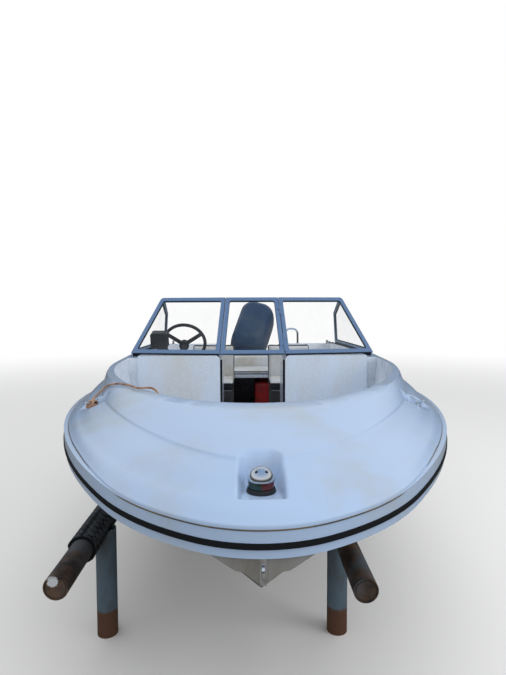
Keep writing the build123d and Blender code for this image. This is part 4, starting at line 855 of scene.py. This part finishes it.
def lips(frame_node, *panes):
    """Edges of a frame that touch the faces of its panes."""
    trees = [face_tree(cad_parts[pane].data) for pane in panes]
    return sharp_lines(frame_node, lambda at, one, two: min(t.find_nearest(at)[3] for t in trees) < LIP_REACH)


for side in SIDES:
    edges = lips("windshield_frame_" + side, "windshield_glass_" + side, "side_glass_" + side)
    tube("pane_lips_" + side, edges, LIP_RADIUS, RUBBER)
tube("pane_lips_gate", lips("gate_frame", "gate_glass"), LIP_RADIUS, RUBBER, "gate")

# Screw heads along the top rails, at shares of the rail from the middle of the boat outwards
TOP_INNER = (0.208, -0.3185, 1.680)
TOP_OUTER = (0.662, -0.2438, 1.680)
PANE_NORMAL = (0.1355, -0.8234, 0.5510)
RAIL_HALF_DEEP = 0.011
SCREW_SHARES = (0.12, 0.42, 0.72, 0.93)
RAIL_SCREW = [(0.0, 0.0016), (0.0030, 0.0013), (0.0042, 0.0), (0.0042, -0.002)]
for side in (-1, 1):
    out = Vector((side * PANE_NORMAL[0], *PANE_NORMAL[1:]))
    for count, share in enumerate(SCREW_SHARES):
        at = Vector(TOP_INNER).lerp(Vector(TOP_OUTER), share)
        at.x *= side
        lathe("rail_screw_%s_%d" % ("port" if side > 0 else "starboard", count), RAIL_SCREW,
              facing(at + out * RAIL_HALF_DEEP, out), CHROME, 12)

# Helm
# A black wheel on a raked column, a small display on the dash and a throttle box on the side.

for node, width in (("steering_wheel", 0.006), ("steering_column", 0), ("instrument_box", 0.004),
                    ("throttle_control", 0)):
    finish(node, BLACK_PLASTIC, width)

# Helm seats and bench
# Foam cushions in white vinyl with black side bands and piping, on moulded boxes; the bench across
# the stern is plain white.

SEAT_DRAW_IN = 0.006
CUSHION_ROUND = 0.022
PRESSURE = 4.0
BLOW_FRAMES = 20
WELT = 0.0035
WELT_STEP = 0.012


def vinyl(name, band=None):
    """White vinyl, with a black band where the surface turns away from one axis."""
    material, tree, skin = shader(name)
    hide = grime(tree, 4.0, 0.34)
    colour = blend_colours(tree, hide["Blotches"], (0.60, 0.63, 0.67), (0.46, 0.44, 0.39))
    if band:
        flank = maths(tree, "ABSOLUTE", split(tree, spot(tree, "Normal"))[band])
        colour = blend_colours(tree, ramp(tree, flank, 0.52, 0.50), colour, (0.012, 0.013, 0.015))
    leather = add(tree, "ShaderNodeTexVoronoi", {"Vector": spot(tree), "Scale": 420.0})
    feed(tree, skin, {"Base Color": colour, "Roughness": vary(tree, hide["Mottle"], 0.38, 0.55),
                      "Normal": relief(tree, leather.outputs["Distance"], 0.25, 0.0006)})
    return material


def evaluated(piece):
    """Mesh of a piece with its modifiers applied."""
    return bpy.data.meshes.new_from_object(piece.evaluated_get(bpy.context.evaluated_depsgraph_get()))


def stuffed(name, low, high, lean, swell, grid, material, node):
    """Cushion blown up from a smaller block and kept flat where it meets the box that it fits."""
    low, high = Vector(low), Vector(high)
    size = high - low
    middle = (high + low) / 2
    mesh = bmesh.new()
    bmesh.ops.create_cube(mesh, size=1.0)
    for vertex in mesh.verts:
        vertex.co = Vector([c * (s - 2 * SEAT_DRAW_IN) for c, s in zip(vertex.co, size)])
    bmesh.ops.bevel(
        mesh, geom=list(mesh.edges), offset=CUSHION_ROUND, segments=3, profile=0.5, affect="EDGES")
    piece = place_new(name, mesh_data(name, mesh))
    remesh = piece.modifiers.new("even", "REMESH")
    remesh.mode = "VOXEL"
    remesh.voxel_size = grid
    even = evaluated(piece)
    piece.modifiers.clear()
    piece.data = even
    cloth = piece.modifiers.new("swell", "CLOTH")
    cloth.settings.use_pressure = True
    cloth.settings.uniform_pressure_force = PRESSURE
    cloth.settings.effector_weights.gravity = 0.0
    cloth.point_cache.frame_end = BLOW_FRAMES
    for step in range(1, BLOW_FRAMES + 1):
        bpy.context.scene.frame_set(step)
    blown = evaluated(piece)
    piece.modifiers.clear()
    for vertex, grown in zip(even.vertices, blown.vertices):
        move = grown.co - vertex.co
        if move.length > swell:
            move *= swell / move.length
        vertex.co += move
    bpy.data.meshes.remove(blown)
    bpy.context.scene.frame_set(1)
    turn = turned(lean, "X")
    for vertex in even.vertices:
        held = Vector([max(-s / 2, min(s / 2, c)) for c, s in zip(vertex.co, size)])
        vertex.co = turn @ held + middle
    for face in even.polygons:
        face.use_smooth = True
    smooth = piece.modifiers.new("smooth", "SUBSURF")
    smooth.render_levels = 1
    even.materials.append(material)
    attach(piece, "boat")
    if node:
        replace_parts(piece, node)
    return piece


BLACK_VINYL = worn("black_vinyl", 20.0, 0.35, "Mottle", (0.010, 0.011, 0.012), (0.028, 0.030, 0.032), 0.5)


def piping(name, pad, corners):
    """Closed bead of piping on a pad; corners give the loop before it is laid on the surface."""
    surface = face_tree(pad.data)
    line = []
    for here, there in zip(corners, corners[1:] + corners[:1]):
        here, there = Vector(here), Vector(there)
        steps = max(2, int((there - here).length / WELT_STEP))
        for k in range(steps):
            line.append(surface.find_nearest(here.lerp(there, k / steps))[0])
    return tube(name, [line], WELT, BLACK_VINYL, closed=True, sides=8)


def level_loop(low, high, z):
    return [(low.x, low.y, z), (high.x, low.y, z), (high.x, high.y, z), (low.x, high.y, z)]


def upright_loop(low, high, y):
    return [(low.x, y, low.z + 0.02), (high.x, y, low.z + 0.02), (high.x, y, high.z), (low.x, y, high.z)]


SEAT_VINYL = vinyl("seat_vinyl", "Z")
BACK_VINYL = vinyl("seat_back_vinyl", "Y")
BENCH_VINYL = vinyl("bench_vinyl")
BACK_LEAN = -3.0
BACK_THICK = 0.092
PAD_THICK = 0.092
SEAT_GAP = 0.002
SWELL = 0.012
GRID = 0.008
for side in SIDES:
    finish("helm_seat_box_" + side, CARPET, 0.006)
    low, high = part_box("helm_seat_" + side)
    box_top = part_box("helm_seat_box_" + side)[1].z
    back_front = high.y - BACK_THICK
    seat = stuffed("seat_pad_" + side, (low.x, low.y, box_top + SEAT_GAP),
                   (high.x, back_front, box_top + PAD_THICK), 0.0, SWELL, GRID, SEAT_VINYL,
                   "helm_seat_" + side)
    back = stuffed("seat_back_" + side, (low.x, back_front + 0.004, low.z + 0.012),
                   (high.x, high.y - 0.010, high.z - 0.004), BACK_LEAN, SWELL, GRID, BACK_VINYL, None)
    piping("seat_piping_" + side, seat, level_loop(low, Vector((high.x, back_front, 0)), box_top + 0.078))
    for place_name, depth in (("front", back_front + 0.012), ("rear", high.y - 0.020)):
        piping("back_piping_%s_%s" % (place_name, side), back, upright_loop(low, high, depth))

finish("bench_base", INSIDE_LIT_AND_SHADED, 0.008)
BENCH_GRID = 0.010
low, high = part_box("bench_cushion")
bench = stuffed("bench_pad", low, high, 0.0, 0.010, BENCH_GRID, BENCH_VINYL, "bench_cushion")
piping("bench_piping", bench, level_loop(low, high, high.z - 0.010))
low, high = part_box("bench_back")
rest = stuffed("bench_rest", low, high, 0.0, SWELL, BENCH_GRID, BENCH_VINYL, "bench_back")
piping("rest_piping", rest, upright_loop(low, high, low.y + 0.008))

# Fuel tank
# A portable red tank in the store under the bench.

TANK = worn("red_tank", 8.0, 0.36, "Blotches", (0.42, 0.020, 0.022), (0.22, 0.020, 0.020), (0.35, 0.5))
finish("fuel_tank", TANK)

# Outboard
# A dark blue cowl over a grey casting; clamps, swivel, leg, gearcase and a three-blade propeller.

COWL = worn("navy_cowl", 5.0, 0.32, "Blotches", (0.012, 0.040, 0.098), (0.028, 0.054, 0.100),
            (0.22, 0.36), gloss=0.3)
MOTOR_GREY = worn("motor_grey", 16.0, 0.38, "Blotches", (0.030, 0.036, 0.048), (0.085, 0.090, 0.095),
                  (0.35, 0.5))
# Rows of the cowl, upright and from the tilt axis: height, middle, length, breadth and rounding
COWL_ROWS = [
    (0.1523, 0.200, 0.616, 0.376, 0.118), (0.250, 0.200, 0.640, 0.392, 0.130),
    (0.390, 0.206, 0.622, 0.384, 0.134), (0.490, 0.218, 0.560, 0.348, 0.128),
    (0.535, 0.228, 0.476, 0.288, 0.110), (0.556, 0.233, 0.404, 0.226, 0.092),
    (0.5645, 0.235, 0.300, 0.140, 0.066), (0.566, 0.236, 0.150, 0.050, 0.024),
]
COWL_SEAL = (0.1510, 0.200, 0.613, 0.373, 0.117)
SEAL_RADIUS = 0.0035
MOTOR_TILT = 58.0
MOTOR_STEER = -17.0
TILT_AXIS = (0.0, 1.7715, 1.012)
STEER_AXIS_Y = 0.110
motor_frame = (Matrix.Translation(TILT_AXIS) @ turned(MOTOR_TILT, "X")
               @ Matrix.Translation((0, STEER_AXIS_Y, 0)) @ turned(MOTOR_STEER, "Z")
               @ Matrix.Translation((0, -STEER_AXIS_Y, 0)))


def rounded_ring(height, middle, long, wide, rounding, steps=10):
    """Points round a level rectangle with round corners."""
    points = []
    for sx, sy, start in ((1, 1, 0), (-1, 1, 90), (-1, -1, 180), (1, -1, 270)):
        for k in range(steps + 1):
            angle = math.radians(start + 90 * k / steps)
            points.append(Vector((sx * (wide / 2 - rounding) + rounding * math.cos(angle),
                                  middle + sy * (long / 2 - rounding) + rounding * math.sin(angle), height)))
    return points


def between(rows, steps):
    """Rows with smooth ones added between them."""
    full = []
    for k in range(len(rows) - 1):
        around = [rows[max(0, k - 1)], rows[k], rows[k + 1], rows[min(len(rows) - 1, k + 2)]]
        for s in range(steps):
            t = s / steps
            full.append(tuple(0.5 * (2 * b + (c - a) * t + (2 * a - 5 * b + 4 * c - d) * t * t
                                     + (3 * b - a - 3 * c + d) * t ** 3) for a, b, c, d in zip(*around)))
    return full + [rows[-1]]


mesh = bmesh.new()
rings = [[mesh.verts.new(motor_frame @ at) for at in rounded_ring(*row)] for row in between(COWL_ROWS, 4)]
bridge(mesh, rings)
mesh.faces.new(rings[-1])
mesh.faces.new(rings[0][::-1])
bmesh.ops.recalc_face_normals(mesh, faces=mesh.faces)
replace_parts(mesh_piece("cowl", mesh, COWL, four_sided, "motor"), "motor_cowl")
seal_ring = [motor_frame @ at for at in rounded_ring(*COWL_SEAL)]
tube("cowl_seal", [seal_ring], SEAL_RADIUS, RUBBER, "motor", closed=True, sides=8)
for node in ("powerhead", "propeller", "motor_swivel"):
    finish(node, MOTOR_GREY)
for node in ("motor_pan", "motor_leg", "lower_unit"):
    finish(node, MOTOR_GREY, 0.004, 3, 50)
finish("motor_clamp", MOTOR_GREY, 0.002, 2)

# Rack
# Four pipe posts, painted blue grey down to a rusty foot, carry two old brown pipes; the starboard
# pipe is wrapped in tyre tread.

POST, tree, skin = shader("post_paint")
flake = grime(tree, 10.0, 0.36, 0.4)
level = maths(tree, "ADD", split(tree, spot(tree))["Z"], maths(tree, "MULTIPLY", flake["Mottle"], 0.05))
rust = blend_colours(tree, flake["Mottle"], (0.045, 0.022, 0.014), (0.16, 0.075, 0.040))
paint = blend_colours(tree, flake["Blotches"], (0.095, 0.140, 0.185), (0.075, 0.085, 0.090))
painted = blend_colours(tree, ramp(tree, level, 0.160, 0.152), paint, rust)
cover(tree, skin, flake, painted, (0.5, 0.8), (0.4, 0.001))
finish("rack_posts", POST)

BROWN, tree, skin = shader("rusty_brown_pipe")
crust = grime(tree, 12.0, 0.42)
old_paint = grime(tree, 6.0, 0.40, 0.3)["Blotches"]
rusty = blend_colours(tree, crust["Blotches"], (0.030, 0.020, 0.016), (0.12, 0.070, 0.042))
coated = blend_colours(tree, old_paint, rusty, (0.085, 0.105, 0.130))
# A chip of white paint at the front end of the starboard pipe
CHIP_AT = (-0.797, -2.0585, 0.559)
CHIP_RADIUS = 0.020
away = vectors(tree, "DISTANCE", spot(tree), CHIP_AT, "Value")
reach = maths(tree, "ADD", away, maths(tree, "MULTIPLY", crust["Mottle"], 0.022))
chip = ramp(tree, reach, CHIP_RADIUS + 0.013, CHIP_RADIUS + 0.011)
chipped = blend_colours(tree, chip, coated, (0.62, 0.66, 0.70))
cover(tree, skin, crust, chipped, (0.5, 0.85), (0.5, 0.0015))
finish("rack_beams", BROWN, 0.004)

# Tyre tread on the starboard pipe
# Strips of worn tyre wrapped round the pipe, their grooves running zigzag along it.

TREAD_OUTSIDE = 0.0655
TREAD_ROOT = 0.0605
TREAD_INSIDE = 0.0504
GROOVES = 8
PITCH = 0.044
ZIGZAG = 0.22
AROUND = 108
ALONG_STEP = 0.0075
low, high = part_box("rack_tread")
axis_x = (low.x + high.x) / 2
axis_z = (low.z + high.z) / 2


def tread_height(angle, along):
    """How far a point of the tread stands out: 1 on a block, 0 in a groove."""
    place = along / PITCH
    wave = abs(place % 1.0 * 2 - 1) * 2 - 1
    lanes = angle / math.tau * GROOVES + ZIGZAG * wave
    from_groove = min(lanes % 1.0, 1 - lanes % 1.0)
    from_cut = abs((place + 0.5 * (int(lanes) % 2)) % 1.0 - 0.5)
    side = min(1.0, max(0.0, (from_groove - 0.09) / 0.05))
    cut = min(1.0, max(0.0, (0.44 - from_cut) / 0.06)) if from_groove < 0.36 else 1.0
    return side * cut


TREAD, tree, skin = shader("worn_tread")
dust = grime(tree, 16.0, 0.42)
worn_top = blend_colours(tree, dust["Blotches"], (0.030, 0.036, 0.046), (0.075, 0.084, 0.096))
from_axis = vectors(tree, "SUBTRACT", spot(tree), (axis_x, 0.0, axis_z))
flat = vectors(tree, "MULTIPLY", from_axis, (1.0, 0.0, 1.0))
radial = vectors(tree, "LENGTH", flat, output="Value")
raised = ramp(tree, radial, TREAD_ROOT + 0.001, TREAD_OUTSIDE - 0.0005)
rubbed = blend_colours(tree, raised, (0.004, 0.005, 0.006), worn_top)
cover(tree, skin, dust, rubbed, (0.6, 0.85), (0.3, 0.0008), gloss=0.3)

mesh = bmesh.new()
tread_rows = int((high.y - low.y) / ALONG_STEP)
places = [low.y + (high.y - low.y) * row / tread_rows for row in range(tread_rows + 1)]
rings = []
for y in [low.y] + places + [high.y]:
    ring = []
    for k, (a, b) in enumerate(circle(AROUND)):
        height = tread_height(math.tau * k / AROUND, y - low.y)
        ends = len(rings) in (0, tread_rows + 2)
        radius = TREAD_INSIDE if ends else TREAD_ROOT + (TREAD_OUTSIDE - TREAD_ROOT) * height
        ring.append(mesh.verts.new((axis_x + radius * a, y, axis_z + radius * b)))
    rings.append(ring)
bridge(mesh, rings)
bmesh.ops.recalc_face_normals(mesh, faces=mesh.faces)
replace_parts(mesh_piece("tread", mesh, TREAD, lambda face: False), "rack_tread")

# Floor, light and backdrop
# A pale floor that keeps the shadow, and a white surround; metal and glass mirror a sky over dark ground.

FLOOR_SIZE = 60.0
FADE_FROM = 4.0
FADE_TO = 16.0
mesh = bmesh.new()
bmesh.ops.create_grid(mesh, x_segments=1, y_segments=1, size=FLOOR_SIZE)
floor = place_new("floor", mesh_data("floor", mesh))
PALE, tree, skin = shader("pale_floor")
ray = add(tree, "ShaderNodeLightPath")
ground = blend_colours(tree, ray.outputs["Is Camera Ray"], (0.22, 0.22, 0.21), (0.93, 0.93, 0.93))
feed(tree, skin, {"Base Color": ground, "Roughness": 0.9})
away = vectors(tree, "LENGTH", spot(tree), output="Value")
fade = ramp(tree, away, FADE_FROM, FADE_TO, interpolation_type="SMOOTHSTEP")
bright = maths(tree, "MULTIPLY", fade, ray.outputs["Is Camera Ray"])
glow = add(tree, "ShaderNodeEmission", {"Color": (1.0, 1.0, 1.0, 1.0), "Strength": 1.0})
both = add(tree, "ShaderNodeMixShader", {0: bright, 1: skin.outputs["BSDF"], 2: glow.outputs["Emission"]})
feed(tree, tree.nodes["Material Output"], {"Surface": both.outputs["Shader"]})
floor.data.materials.append(PALE)

world = bpy.data.worlds.new("studio")
world.use_nodes = True
bpy.context.scene.world = world
sky = world.node_tree
light_path = add(sky, "ShaderNodeLightPath").outputs
seen = maths(sky, "MAXIMUM", light_path["Is Camera Ray"], light_path["Is Transmission Ray"])
height = split(sky, spot(sky, "Generated"))["Z"]
open_sky = blend_colours(sky, ramp(sky, height, 0.45, 0.95), (0.90, 0.95, 1.0), (0.38, 0.56, 0.86))
mirrored = blend_colours(sky, ramp(sky, height, 0.20, 0.42), (0.07, 0.08, 0.09), open_sky)
surround = blend_colours(sky, light_path["Is Glossy Ray"], (1.0, 1.0, 1.0), mirrored)
feed(sky, sky.nodes["Background"], {"Color": surround, "Strength": ramp(sky, seen, 0.0, 1.0, 0.72, 1.0)})


def lamp(name, place, target, size, power):
    made = place_new(name, bpy.data.lights.new(name, "AREA"))
    made.data.size = size
    made.data.energy = power
    made.location = place
    made.visible_glossy = False
    made.rotation_euler = (Vector(target) - Vector(place)).to_track_quat("-Z", "Y").to_euler()


lamp("sky_light", (0.5, -3.0, 8.0), (0, 0, 0.8), 6.0, 110.0)
lamp("side_light", (6.0, -4.0, 4.0), (0, -1.0, 1.0), 4.0, 130.0)
lamp("front_light", (-1.0, -9.0, 2.5), (0, -1.0, 1.0), 5.0, 60.0)

bpy.context.scene.view_settings.view_transform = "Standard"
